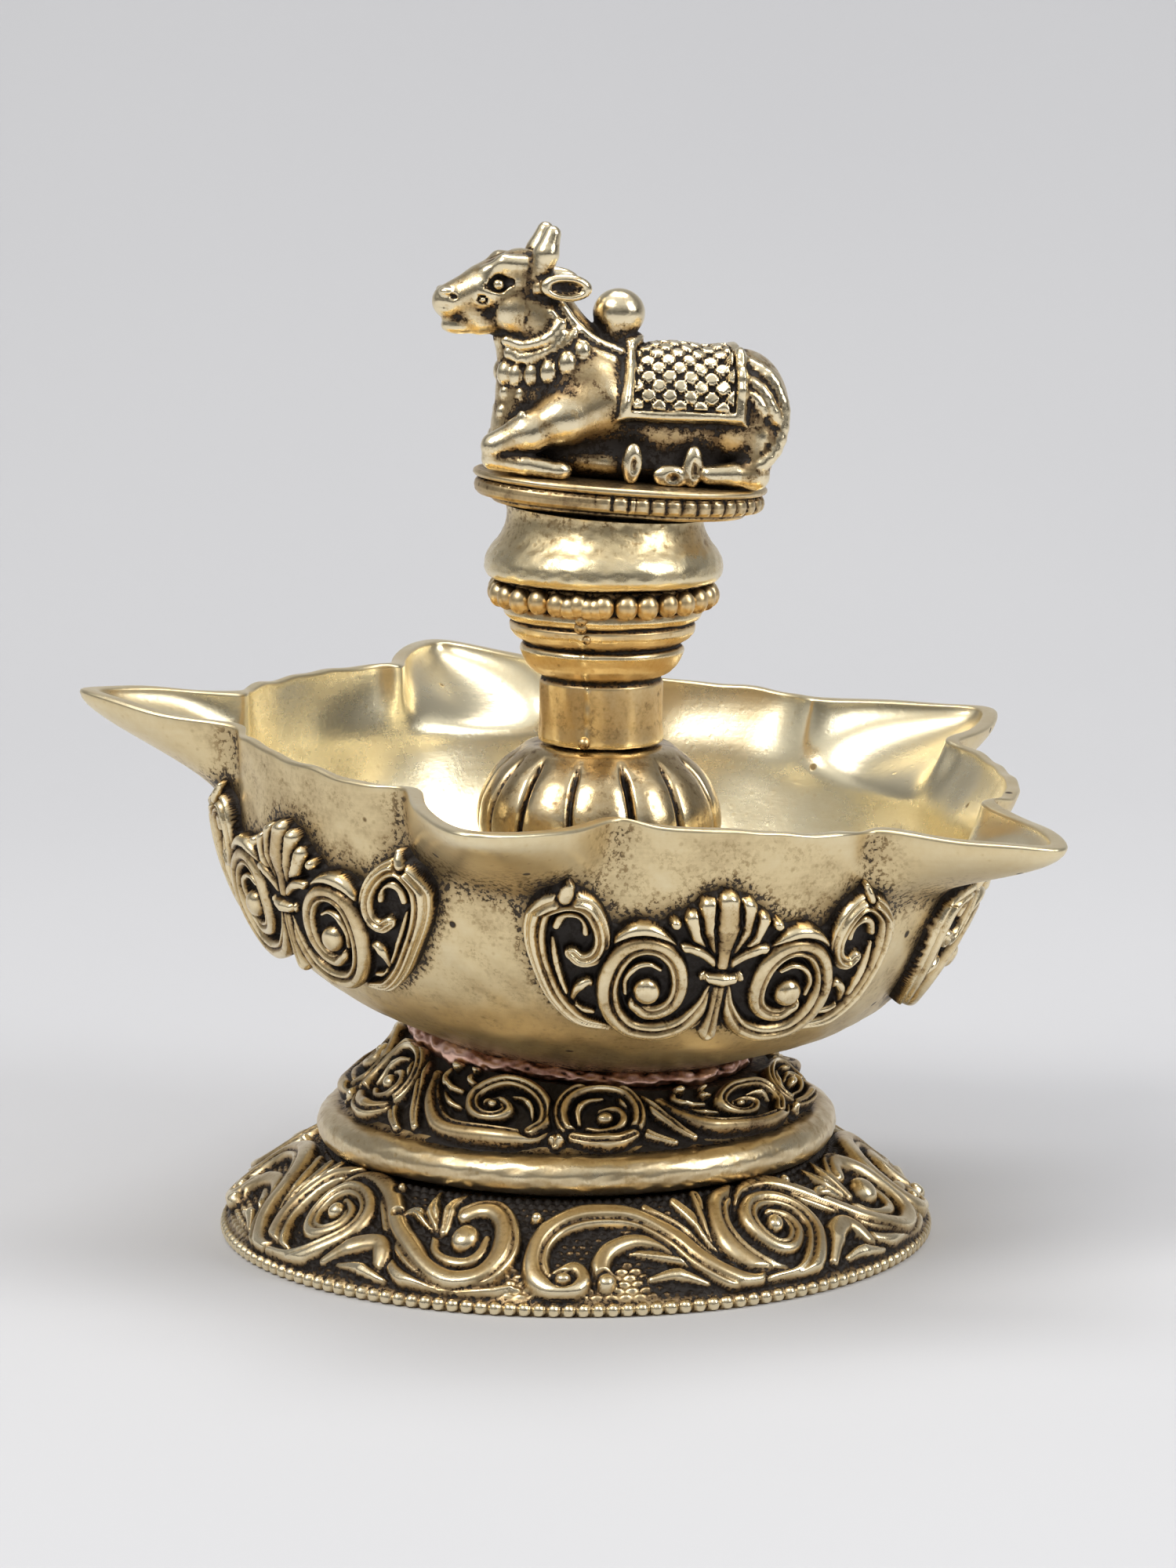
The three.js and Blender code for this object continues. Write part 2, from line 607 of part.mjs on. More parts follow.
function brazeCollar() {
  const top = -SEAT_GAP;
  const middle = top - COLLAR_THICKNESS / 2;
  const chamfer = COLLAR_THICKNESS / 4;
  return turned([
    [COLLAR_BORE_RADIUS, top - COLLAR_THICKNESS],
    [COLLAR_RADIUS - chamfer, top - COLLAR_THICKNESS],
    [COLLAR_RADIUS, middle],
    [COLLAR_RADIUS - chamfer, top],
    [COLLAR_BORE_RADIUS, top],
  ]);
}

// Plaque: in shares of its height, from its middle. One half is listed, and the other mirrors it.
const PLAQUE_VOLUTE_SHARES = { centre: [0.465, -0.2], outer: 0.3, inner: 0.13, turns: 1.5 };
const PLAQUE_TAIL_SHARES = [[0.04, -0.18], [0.08, -0.3], [0.2, -0.43]];
const PLAQUE_CURL_SHARES = [
  [0.72, -0.45], [0.86, -0.37], [1, -0.23], [1.08, -0.05], [1.13, 0.12], [1.12, 0.28],
  [1.05, 0.4], [0.93, 0.44], [0.81, 0.38], [0.74, 0.27], [0.74, 0.14], [0.79, 0.02],
];
const PLAQUE_STEM_SHARES = [[0, -0.47], [0, -0.36], [0, -0.22], [0, -0.12]];
const PLAQUE_STEM_WIDTH_SHARES = [1.2, 0.7, 0.7, 1];
const PLAQUE_FAN_SHARES = [[0, -0.16], [0, 0.05], [0, 0.25], [0, 0.46]];
const PLAQUE_FAN_WIDTH_SHARES = [0.25, 0.4, 0.8, 1.05];
const PLAQUE_SHOULDER_SHARES = [[0.1, 0.02], [0.13, 0.16], [0.24, 0.18]];
const PLAQUE_EDGE_SHARES = [
  [-1, -0.16, 0.32], [-0.72, -0.42, 0.42], [-0.36, -0.5, 0.14], [0, -0.48, 0.44], [0.36, -0.5, 0.14],
  [0.72, -0.42, 0.42], [1, -0.16, 0.32],
];
const PLATE_ROWS = 4;
const PLAQUE_HEIGHT = bowlWall.length * PLAQUE_HEIGHT_SHARE;
const PLAQUE_WIDTH = PLAQUE_HEIGHT * PLAQUE_WIDTH_SHARE;
const VOLUTE_PLACES = 17;

function plaquePlate(surface) {
  const sides = PLAQUE_EDGE_SHARES.map(([across, low, high]) => {
    const column = [];
    for (let row = 0; row <= PLATE_ROWS; row++) {
      column.push([(across * PLAQUE_WIDTH) / 2, lerp(low, high, row / PLATE_ROWS) * PLAQUE_HEIGHT]);
    }
    return column;
  });
  return skin(
    sides.map((column) => {
      const back = column.map(([u, v]) => surface(u, v, PLAQUE_GAP));
      const front = column.map(([u, v]) => surface(u, v, PLAQUE_GAP + PLAQUE_PLATE)).reverse();
      return [...back, ...front];
    }),
  );
}

function plaque(azimuth) {
  const middle = bowlWall.length * PLAQUE_BOTTOM_SHARE + PLAQUE_HEIGHT / 2;
  const [radius] = bowlWall.at(middle);
  const ground = (u, v) => bowlOutside(azimuth + u / radius, middle + v);
  const facet = (u, v) => bowlFacet(azimuth + u / radius, middle + v);
  const surface = surfaceOver(ground, BOWL_WALL * TINY_SHARE, facet);
  const raised = (u, v, out) => surface(u, v, PLAQUE_GAP + PLAQUE_PLATE + out);
  const pieces = [plaquePlate(surface)];
  const add = (line, width, widths, section) =>
    pieces.push(band(raised, line, { width, rise: PLAQUE_RISE, widths, section }));
  const place = (shares) => scaledLine(shares, PLAQUE_HEIGHT, PLAQUE_HEIGHT);
  add(place(PLAQUE_STEM_SHARES), PLAQUE_LEAF_WIDTH, PLAQUE_STEM_WIDTH_SHARES, RIDGE_SHARES);
  add(place(PLAQUE_FAN_SHARES), PLAQUE_FAN_WIDTH, PLAQUE_FAN_WIDTH_SHARES);
  for (const hand of [-1, 1]) {
    const mirrored = (line) => line.map(([u, v]) => [hand * u, v]);
    const { centre, outer, inner, turns } = PLAQUE_VOLUTE_SHARES;
    const winding = volute(centre, outer, inner, -Math.PI / 2, turns, VOLUTE_PLACES);
    add(mirrored(place([...PLAQUE_TAIL_SHARES, ...winding])), PLAQUE_BAND_WIDTH);
    add(mirrored(place(PLAQUE_CURL_SHARES)), PLAQUE_BAND_WIDTH);
    add(mirrored(place(PLAQUE_SHOULDER_SHARES)), PLAQUE_BAND_WIDTH, LEAF_WIDTH_SHARES, RIDGE_SHARES);
    const [eyeU, eyeV] = mirrored(place([centre]))[0];
    const eye = raised(eyeU, eyeV, PLAQUE_EYE_RADIUS - PLAQUE_PLATE);
    pieces.push(ball(eye.toArray(), Array(3).fill(PLAQUE_EYE_RADIUS), 6, 3));
  }
  return joined(pieces);
}

// Column castings

function throughBore(points) {
  const bore = STUD_RADIUS + BORE_CLEARANCE;
  const low = points[0][1];
  const high = points[points.length - 1][1];
  return turned([[bore, low], ...points, [bore, high]], COLUMN_SIDES);
}

const BASE_STEM_SHARES = [[0, 1], [0.2, 0.62], [0.4, 0.5], [0.62, 0.5], [0.8, 0.66], [1, 1]];

function columnBase() {
  const bottom = BOWL_BASE_HEIGHT;
  const flangeTop = BOWL_BASE_HEIGHT + 2 * BOWL_FLOOR + BASE_FLANGE_HEIGHT;
  const top = KNOP_BOTTOM - SEAT_GAP;
  const stemWaist = flangeTop + (top - flangeTop) * BASE_STEM_SHARES[2][0];
  const body = throughBore([
    [BASE_FLANGE_RADIUS, bottom],
    [BASE_FLANGE_RADIUS, flangeTop - BASE_FLANGE_HEIGHT / 2],
    [(BASE_FLANGE_RADIUS + BASE_STEM_RADIUS) / 2, flangeTop],
    [BASE_STEM_RADIUS, stemWaist],
    [BASE_STEM_RADIUS, lerp(stemWaist, top, BASE_STEM_SHARES[2][0])],
    [BASE_CUP_RADIUS, top - SEAT_GAP],
    [BASE_CUP_RADIUS, top],
  ]);
  const floor = halfSpace(BOWL_FLOOR + SEAT_GAP, FOOT_RADIUS, false);
  return cutBy(body, moved(floor, bowlGroup, columnGroup));
}

// Knop: a melon with deep grooves between its lobes, in shares of its radius and height
const KNOP_SHARES = [
  [0.6, 0], [0.86, 0.1], [0.97, 0.26], [1, 0.47], [0.985, 0.65], [0.93, 0.78], [0.84, 0.89], [0.7, 0.96],
  [0.5, 1],
];
const LOBE_SHARES = [0, 0.9, 0.9];

function melonKnop() {
  const sides = KNOP_LOBES * LOBE_SHARES.length;
  const bore = STUD_RADIUS + BORE_CLEARANCE;
  const ringAt = (radius, height, groove) =>
    Array.from({ length: sides }, (_, side) => {
      const swell = LOBE_SHARES[side % LOBE_SHARES.length];
      const azimuth = (2 * Math.PI * side) / sides + KNOP_TURN;
      return polar(azimuth, radius - groove * (1 - swell), height);
    });
  const rings = KNOP_SHARES.map(([out, up]) => {
    const groove = KNOP_GROOVE * Math.sin(Math.PI * clamp(up, 0.1, 0.9));
    return ringAt(out * KNOP_RADIUS, lerp(KNOP_BOTTOM, KNOP_TOP, up), groove);
  });
  return skin([ringAt(bore, KNOP_BOTTOM, 0), ...rings, ringAt(bore, KNOP_TOP, 0)], false);
}

// Cup on the neck: in shares of the way out from the neck and of the way up
const CUP_SHARES = [[0.35, 0.12], [0.62, 0.38], [0.62, 0.55], [1, 0.62], [1, 0.85]];

function neckCasting() {
  const bottom = KNOP_TOP + SEAT_GAP;
  const body = throughBore([
    [NECK_RADIUS, bottom],
    [NECK_RADIUS, NECK_TOP],
    ...CUP_SHARES.map(([out, up]) => [lerp(NECK_RADIUS, CUP_RADIUS, out), lerp(NECK_TOP, CUP_TOP, up)]),
    [BEAD_RING_RADIUS - BEAD_HALF_WIDTH / 2, CUP_TOP],
    [BEAD_RING_RADIUS - BEAD_HALF_WIDTH / 2, NECK_CASTING_TOP],
  ]);
  const pieces = [body];
  for (let bead = 0; bead < BEAD_COUNT; bead++) {
    const azimuth = (2 * Math.PI * bead) / BEAD_COUNT;
    const centre = polar(azimuth, BEAD_RING_RADIUS, BEAD_CENTRE_HEIGHT);
    pieces.push(ball(centre.toArray(), [BEAD_HALF_WIDTH, BEAD_HALF_WIDTH, BEAD_HALF_HEIGHT], 6, 3));
  }
  return joined(pieces);
}

// Bell: a polished capital, in shares of its height and of what its radius stands out past the waist
const BELL_SHARES = [
  [0.45, 0], [0.9, 0.03], [1, 0.1], [0.97, 0.18], [0.75, 0.32], [0.3, 0.52], [0, 0.74], [0.2, 1],
];

function bell() {
  const bottom = NECK_CASTING_TOP + SEAT_GAP;
  const body = throughBore(
    BELL_SHARES.map(([out, up]) => [lerp(BELL_WAIST_RADIUS, BELL_RADIUS, out), lerp(bottom, BELL_TOP, up)]),
  );
  const level = -(PLINTH_THICKNESS + LEDGE_THICKNESS + SEAT_GAP);
  const slant = halfSpace(level, FOOT_RADIUS, true);
  return cutBy(body, moved(slant, figureGroup, columnGroup));
}

function tieStud() {
  return new THREE.CylinderGeometry(STUD_RADIUS, STUD_RADIUS, STUD_TOP - STUD_BOTTOM, SMALL_SIDES)
    .rotateX(Math.PI / 2)
    .translate(0, 0, (STUD_TOP + STUD_BOTTOM) / 2);
}

function ringOf(inner, outer, bottom, top, sides) {
  return turned([[inner, bottom], [outer, bottom], [outer, top], [inner, top]], sides);
}

// Plinth: an oval plate with a ribbed border over a smaller ledge
const RIB_COUNT = 44;
const RIB_DEPTH_SHARE = 0.12;

function oval(length, width, height, ribs = 0) {
  return Array.from({ length: RIB_COUNT }, (_, side) => {
    const angle = (2 * Math.PI * side) / RIB_COUNT;
    const reach = (1 - (side % 2) * ribs) / 2;
    return new THREE.Vector3(length * reach * Math.sin(angle), -width * reach * Math.cos(angle), height);
  });
}

function plinth() {
  const lip = PLINTH_THICKNESS * RIB_DEPTH_SHARE;
  const inset = 2 * lip;
  return skin([
    oval(LEDGE_LENGTH - inset, LEDGE_WIDTH - inset, -PLINTH_THICKNESS - LEDGE_THICKNESS),
    oval(LEDGE_LENGTH, LEDGE_WIDTH, -PLINTH_THICKNESS),
    oval(PLINTH_LENGTH - inset, PLINTH_WIDTH - inset, -PLINTH_THICKNESS),
    oval(PLINTH_LENGTH, PLINTH_WIDTH, -PLINTH_THICKNESS + lip, (lip / PLINTH_LENGTH) * 2),
    oval(PLINTH_LENGTH, PLINTH_WIDTH, -lip, (lip / PLINTH_LENGTH) * 2),
    oval(PLINTH_LENGTH - inset, PLINTH_WIDTH - inset, 0),
  ]);
}

// Bull: places and radii in shares of its height, with the head towards -X. The second of a pair mirrors Y.
const BULL_BODY_SHARES = [
  { centre: [0.06, 0, 0.3], radii: [0.55, 0.27, 0.28] },
  { centre: [0.375, 0, 0.285], radii: [0.24, 0.285, 0.3] },
  { centre: [-0.3, 0, 0.27], radii: [0.235, 0.235, 0.27] },
  { centre: [-0.04, 0, 0.65], radii: [0.105, 0.1, 0.115] },
];
const BULL_THIGH_SHARES = { centre: [0.4, 0.19, 0.2], radii: [0.18, 0.11, 0.2] };
const BULL_CLOTH_SHARES = {
  centre: [0.27, 0, 0.28],
  radii: [0.9, 0.32, 0.33],
  from: -0.06,
  to: 0.42,
  bottom: 0.3,
};
const BULL_NECK_SHARES = [
  [-0.22, 0, 0.32, 0.22], [-0.33, 0, 0.5, 0.185], [-0.39, 0, 0.64, 0.155], [-0.42, 0, 0.75, 0.13],
];
const BULL_HEAD_SHARES = [
  [-0.3, 0, 0.77, 0.1], [-0.38, 0, 0.775, 0.145], [-0.48, 0, 0.75, 0.14], [-0.593, 0, 0.7, 0.115],
  [-0.713, 0, 0.65, 0.09], [-0.775, 0, 0.63, 0.07],
];
const BULL_LIMBS_SHARES = {
  horn: [[-0.355, 0.08, 0.83, 0.052], [-0.37, 0.12, 0.91, 0.046], [-0.385, 0.1, 0.985, 0.018]],
  ear: [[-0.335, 0.11, 0.785, 0.028], [-0.28, 0.15, 0.785, 0.05], [-0.225, 0.18, 0.785, 0.015]],
  foreleg: [
    [-0.28, 0.18, 0.28, 0.09], [-0.46, 0.19, 0.14, 0.068], [-0.52, 0.18, 0.075, 0.055],
    [-0.42, 0.2, 0.05, 0.045], [-0.25, 0.21, 0.04, 0.036],
  ],
  shank: [[0.58, 0.2, 0.1, 0.06], [0.5, 0.22, 0.06, 0.05], [0.37, 0.235, 0.045, 0.042]],
};
const BULL_TAIL_SHARES = [
  [0.55, 0, 0.5, 0.03], [0.605, -0.04, 0.38, 0.03], [0.6, -0.1, 0.2, 0.03], [0.54, -0.16, 0.07, 0.045],
];
const LIMB_SIDES = 6;

// A limb: rings of [x, y, z, radius] shares square to the way from place to place
function limb(shares, hand = 1) {
  const places = shares.map(([x, y, z]) => new THREE.Vector3(x, hand * y, z).multiplyScalar(BULL_HEIGHT));
  return skin(
    places.map((place, i) => {
      const before = places[Math.max(0, i - 1)];
      const after = places[Math.min(places.length - 1, i + 1)];
      const way = after.clone().sub(before).normalize();
      const side = new THREE.Vector3(0, 1, 0).cross(way).normalize();
      const other = way.clone().cross(side);
      const radius = shares[i][3] * BULL_HEIGHT;
      return Array.from({ length: LIMB_SIDES }, (_, k) => {
        const angle = (2 * Math.PI * k) / LIMB_SIDES;
        const out = side.clone().multiplyScalar(radius * Math.cos(angle));
        return out.addScaledVector(other, radius * Math.sin(angle)).add(place);
      });
    }),
  );
}

function lump({ centre, radii }, hand = 1) {
  const size = (shares) => shares.map((share) => share * BULL_HEIGHT);
  const [x, y, z] = size(centre);
  return ball([x, hand * y, z], size(radii), 10, 7);
}

function saddleCloth() {
  const { from, to, bottom } = BULL_CLOTH_SHARES;
  const length = (to - from) * BULL_HEIGHT;
  const block = new THREE.BoxGeometry(length, BULL_HEIGHT, BULL_HEIGHT);
  block.translate(from * BULL_HEIGHT + length / 2, 0, bottom * BULL_HEIGHT + BULL_HEIGHT / 2);
  return geometryOf(solidOf(lump(BULL_CLOTH_SHARES)).intersect(solidOf(block)));
}

function bull() {
  const pieces = [
    ...BULL_BODY_SHARES.map((share) => lump(share)),
    saddleCloth(),
    limb(BULL_NECK_SHARES),
    limb(BULL_HEAD_SHARES),
    limb(BULL_TAIL_SHARES),
  ];
  for (const hand of [-1, 1]) {
    pieces.push(lump(BULL_THIGH_SHARES, hand));
    pieces.push(...Object.values(BULL_LIMBS_SHARES).map((shares) => limb(shares, hand)));
  }
  return cutBy(joined(pieces), halfSpace(SEAT_GAP, FOOT_RADIUS, false));
}

// The lamp, put together from the floor up

lamp.add(named("foot", foot(), brass()));
lamp.add(named("pedestal", pedestal(), darkBrass()));

bowlGroup.add(named("braze_collar", brazeCollar(), braze()));
bowlGroup.add(named("bowl", bowl(), polishedBrass()));
SPOUTS.forEach((_, i) => {
  const azimuth = SPOUT_FIRST + (i + 0.5) * SPOUT_PITCH + PLAQUE_TURN;
  bowlGroup.add(named(`bowl_plaque_${i + 1}`, plaque(azimuth), brass()));
});

columnGroup.add(named("column_base", columnBase(), brass()));
columnGroup.add(named("melon_knop", melonKnop(), brass()));
columnGroup.add(named("neck_casting", neckCasting(), brass()));
columnGroup.add(named("bell_capital", bell(), polishedBrass()));
columnGroup.add(named("tie_stud", tieStud(), steel()));
const washerTop = DECK_HEIGHT - SEAT_GAP;
const washerBottom = washerTop - WASHER_THICKNESS;
const nutTop = washerBottom - SEAT_GAP;
const threadRadius = STUD_RADIUS + BORE_CLEARANCE;
columnGroup.add(
  named("stud_washer", ringOf(threadRadius, WASHER_RADIUS, washerBottom, washerTop, SMALL_SIDES), steel()),
);
columnGroup.add(named("stud_nut", ringOf(threadRadius, NUT_RADIUS, nutTop - NUT_HEIGHT, nutTop, 6), steel()));

figureGroup.add(named("figure_plinth", plinth(), brass()));
figureGroup.add(named("seated_bull", bull(), brass()));

// The origin: on the floor, under the middle of the lamp's outline
const part = new THREE.Group();
part.add(lamp);
const outline = new THREE.Box3().setFromObject(part, true);
const middle = outline.getCenter(new THREE.Vector3());
lamp.position.set(-middle.x, -middle.y, -outline.min.z);

export default part;
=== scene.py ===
# Five-wick oil lamp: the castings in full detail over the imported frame, with their finishes.
# Lengths here are millimetres from the foot's axis until a piece is made, and metres after that.
import math

import bpy
import numpy as np
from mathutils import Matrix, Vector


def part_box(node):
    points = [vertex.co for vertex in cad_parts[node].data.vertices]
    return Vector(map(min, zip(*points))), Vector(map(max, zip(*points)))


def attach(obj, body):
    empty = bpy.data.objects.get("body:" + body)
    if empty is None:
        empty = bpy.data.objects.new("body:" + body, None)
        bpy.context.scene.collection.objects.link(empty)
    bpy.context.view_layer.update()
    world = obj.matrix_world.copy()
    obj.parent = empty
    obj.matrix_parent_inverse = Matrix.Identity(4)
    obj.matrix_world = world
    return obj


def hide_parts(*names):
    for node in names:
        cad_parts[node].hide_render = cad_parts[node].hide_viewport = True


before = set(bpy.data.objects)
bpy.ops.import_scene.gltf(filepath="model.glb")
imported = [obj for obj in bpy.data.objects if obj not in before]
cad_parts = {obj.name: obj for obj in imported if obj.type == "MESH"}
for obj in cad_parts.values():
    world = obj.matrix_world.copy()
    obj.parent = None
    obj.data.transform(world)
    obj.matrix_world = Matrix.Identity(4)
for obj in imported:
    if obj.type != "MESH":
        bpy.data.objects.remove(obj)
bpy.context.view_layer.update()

scene = bpy.context.scene
FINE = 1.0
foot_low, foot_high = (np.array(corner, float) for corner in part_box("foot"))
AXIS = (foot_low + foot_high) / 2 * (1, 1, 0)


def linked(name, data):
    made = bpy.data.objects.new(name, data)
    scene.collection.objects.link(made)
    return made


# Camera, at the photograph's viewing angle
CAMERA_PLACE = (0.00142, -0.6594, 0.1728)  # metres from the foot's axis
CAMERA_DIP = 10.05  # degrees below level
CAMERA_LENS = 124.16

camera_data = bpy.data.cameras.new("camera")
camera_data.lens = CAMERA_LENS
camera_data.sensor_width = 36.0
camera_data.clip_start = 0.01
camera = linked("camera", camera_data)
camera.location = AXIS + CAMERA_PLACE
camera.rotation_euler = (math.radians(90 - CAMERA_DIP), 0, 0)
scene.camera = camera


# Frames of the pieces that were set up square together
def turned(axis, degrees):
    c, s = math.cos(math.radians(degrees)), math.sin(math.radians(degrees))
    rows = {"x": [[1, 0, 0], [0, c, -s], [0, s, c]], "y": [[c, 0, s], [0, 1, 0], [-s, 0, c]],
            "z": [[c, -s, 0], [s, c, 0], [0, 0, 1]]}
    return np.array(rows[axis], float)


BOWL_SIDE_TILT, BOWL_FRONT_TILT, BOWL_PLACE = 5.4, 1.5, (0.6, 0, 25)
COLUMN_TILT, COLUMN_PLACE = 1.05, (1.82, 0, 0)
FIGURE_TILT, FIGURE_TURN, FIGURE_PLACE = 3.6, 9, (1.9, 0, 94.3)


def placed(points, where):
    return np.asarray(points) @ where[0].T + where[1]


LAMP = (np.eye(3), np.zeros(3))
BOWL = (turned("y", BOWL_SIDE_TILT) @ turned("x", BOWL_FRONT_TILT), np.array(BOWL_PLACE))
COLUMN = (turned("y", COLUMN_TILT), np.array(COLUMN_PLACE))
FIGURE = (COLUMN[0] @ turned("y", FIGURE_TILT) @ turned("z", FIGURE_TURN), placed(FIGURE_PLACE, COLUMN))


def plane(where, level):
    """A level plane of a piece that leans: its normal, and how far along the normal it lies."""
    normal = where[0][:, 2]
    return normal, normal @ placed((0, 0, level), where)


# Shapes that the pieces share

def circle(count):
    """Even azimuths all round, as one row."""
    return (np.arange(int(count)) * 2 * math.pi / int(count))[None]


def turn_from(azimuth, place):
    """The angle from a place to an azimuth, the short way round."""
    return (azimuth - place + 3 * math.pi) % (2 * math.pi) - math.pi


def hill(x, width):
    return np.exp(-((x / width) ** 2))


def polar(azimuth, radius, height):
    azimuth, radius, height = np.broadcast_arrays(azimuth, radius, height)
    return np.stack([radius * np.sin(azimuth), -radius * np.cos(azimuth), height], -1)


def smoothstep(x, low, high):
    t = np.clip((x - low) / (high - low), 0, 1)
    return t * t * (3 - 2 * t)


def spline(places, step=0.2):
    p = np.asarray(places, float)
    p = np.vstack([2 * p[0] - p[1], p, 2 * p[-1] - p[-2]])
    out = []
    for a, b, c, d in zip(p, p[1:], p[2:], p[3:]):
        count = max(2, int(np.linalg.norm(c[:2] - b[:2]) / step))
        t = np.linspace(0, 1, count, endpoint=False)[:, None]
        square, cube = 2 * a - 5 * b + 4 * c - d, 3 * b - a - 3 * c + d
        out.append(0.5 * (2 * b + (c - a) * t + square * t**2 + cube * t**3))
    return np.vstack(out + [p[-2][None]])


def blurred(field, sigma, wrap=False):
    for axis, cells in enumerate(sigma):
        reach = max(1, int(2.5 * cells))
        weights = np.exp(-0.5 * (np.arange(-reach, reach + 1) / cells) ** 2)
        pad = [(0, 0)] * field.ndim
        pad[axis] = (reach, reach)
        if wrap and axis == 1:
            padded = np.pad(field, pad, mode="wrap")
        else:
            padded = np.pad(field, pad, mode="reflect", reflect_type="odd")
        total = 0
        for i, weight in enumerate(weights / weights.sum()):
            cut = [slice(None)] * field.ndim
            cut[axis] = slice(i, i + field.shape[axis])
            total = total + weight * padded[tuple(cut)]
        field = total
    return field


def waves(x, y, seed, reach, count=14):
    """Smooth unevenness round 0, closed in x, which is an angle."""
    rng = np.random.default_rng(seed)
    total = 0
    for _ in range(count):
        k, way, phase = rng.integers(1, reach), rng.uniform(-1, 1), rng.uniform(0, 2 * math.pi)
        total = total + np.cos(k * x + way * reach * y / 45 + phase)
    return total / math.sqrt(count)


class Line:
    """A profile of (across, up) places that is walked by distance, with its corners a little rounded."""

    def __init__(self, places, soft=0.12, curved=True):
        rough = spline(places, 0.1) if curved else np.asarray(places, float)
        ends = np.concatenate([[0], np.cumsum(np.hypot(*np.diff(rough, axis=0).T))])
        step = 0.05
        even = np.arange(0, ends[-1], step)
        path = np.stack([np.interp(even, ends, rough[:, 0]), np.interp(even, ends, rough[:, 1])], -1)
        self.path = blurred(path, (soft / step,))
        self.ends = even
        self.length = even[-1]

    def at(self, distance):
        return np.interp(distance, self.ends, self.path[:, 0]), np.interp(distance, self.ends, self.path[:, 1])

    def out(self, distance, reach=0.15):
        r0, z0 = self.at(np.clip(distance - reach, 0, self.length))
        r1, z1 = self.at(np.clip(distance + reach, 0, self.length))
        size = np.hypot(r1 - r0, z1 - z0) + 1e-9
        return (z1 - z0) / size, (r0 - r1) / size

    def skin(self, azimuth, distance, push):
        """The profile turned about the axis, and pushed out from its own surface."""
        r, z = self.at(distance)
        out_r, out_z = self.out(distance)
        return polar(azimuth + 0 * distance, r + out_r * push, z + out_z * push)


class Relief:
    """Heights over (u, v) places, built up from strips. Where it loops, u runs round and meets itself."""

    def __init__(self, start, width, low, high, cell, loops):
        columns = int(round(width / cell))
        self.start, self.width, self.low, self.loops = start, width, low, loops
        self.step = width / columns
        self.u = start + np.arange(columns) * self.step
        self.v = np.arange(low, high + self.step, self.step)
        self.height = np.zeros((len(self.v), columns))

    def strip(self, line, half=1.1, rise=1.5, taper=(1, 1), grooves=(), moat=0.5, cut=0.38):
        """A rounded band with grooves at shares of its half width. It stands clear of what it crosses."""
        path = spline(line)
        way = np.gradient(path, axis=0)
        way /= np.linalg.norm(way, axis=1)[:, None] + 1e-9
        share = np.linspace(0, 1, len(path))
        halves = half * np.interp(share, np.linspace(0, 1, len(taper)), taper)
        rises = rise * np.interp(share, np.linspace(0, 1, len(taper)), np.clip(taper, 0.55, 1))
        margin = halves.max() + moat
        for turn in (-1, 0, 1) if self.loops else (0,):
            x, y = path[:, 0] + turn * self.width, path[:, 1]
            columns = np.nonzero((self.u > x.min() - margin) & (self.u < x.max() + margin))[0]
            if not len(columns):
                continue
            for row in np.nonzero((self.v > y.min() - margin) & (self.v < y.max() + margin))[0]:
                du, dv = self.u[columns][:, None] - x, self.v[row] - y
                far = du * du + dv * dv
                near = far.argmin(1)
                off = np.sqrt(far[np.arange(len(near)), near])
                t = off / halves[near]
                side = np.sign(way[near, 0] * dv[near] - way[near, 1] * du[np.arange(len(near)), near]) * t
                body = rises[near] * np.sqrt(np.clip(1 - t**3, 0, 1))
                for place in grooves:
                    body -= cut * rises[near] * hill(side - place, 0.15)
                old = self.height[row, columns]
                beside = old * np.clip(0.3 + 0.7 * (off - halves[near]) / moat, 0.3, 1)
                self.height[row, columns] = np.where(t < 1, np.maximum(0.55 * old, body), beside)

    def ball(self, u, v, radius, rise):
        self.strip([(u, v), (u + 0.01, v)], radius, rise, moat=0.35)

    def sample(self, u, v, field=None):
        x = (u - self.start) / self.step
        x = x % len(self.u) if self.loops else np.clip(x, 0, len(self.u) - 1.001)
        y = np.clip((v - self.low) / self.step, 0, len(self.v) - 1.001)
        i, j = np.floor(x).astype(int), np.floor(y).astype(int)
        a, b = x - i, y - j
        right = (i + 1) % len(self.u)
        h = self.height if field is None else field
        below, above = (h[row, i] * (1 - a) + h[row, right] * a for row in (j, j + 1))
        return below * (1 - b) + above * b


def grid_faces(rows, columns, wrap):
    spans = columns if wrap else columns - 1
    j, i = np.meshgrid(np.arange(rows - 1), np.arange(spans), indexing="ij")
    right = (i + 1) % columns
    low, high = j * columns, (j + 1) * columns
    return np.stack([low + i, low + right, high + right, high + i], -1)


RECESS_WIDTH = 0.8  # how far a turned surface is smoothed to find its recesses


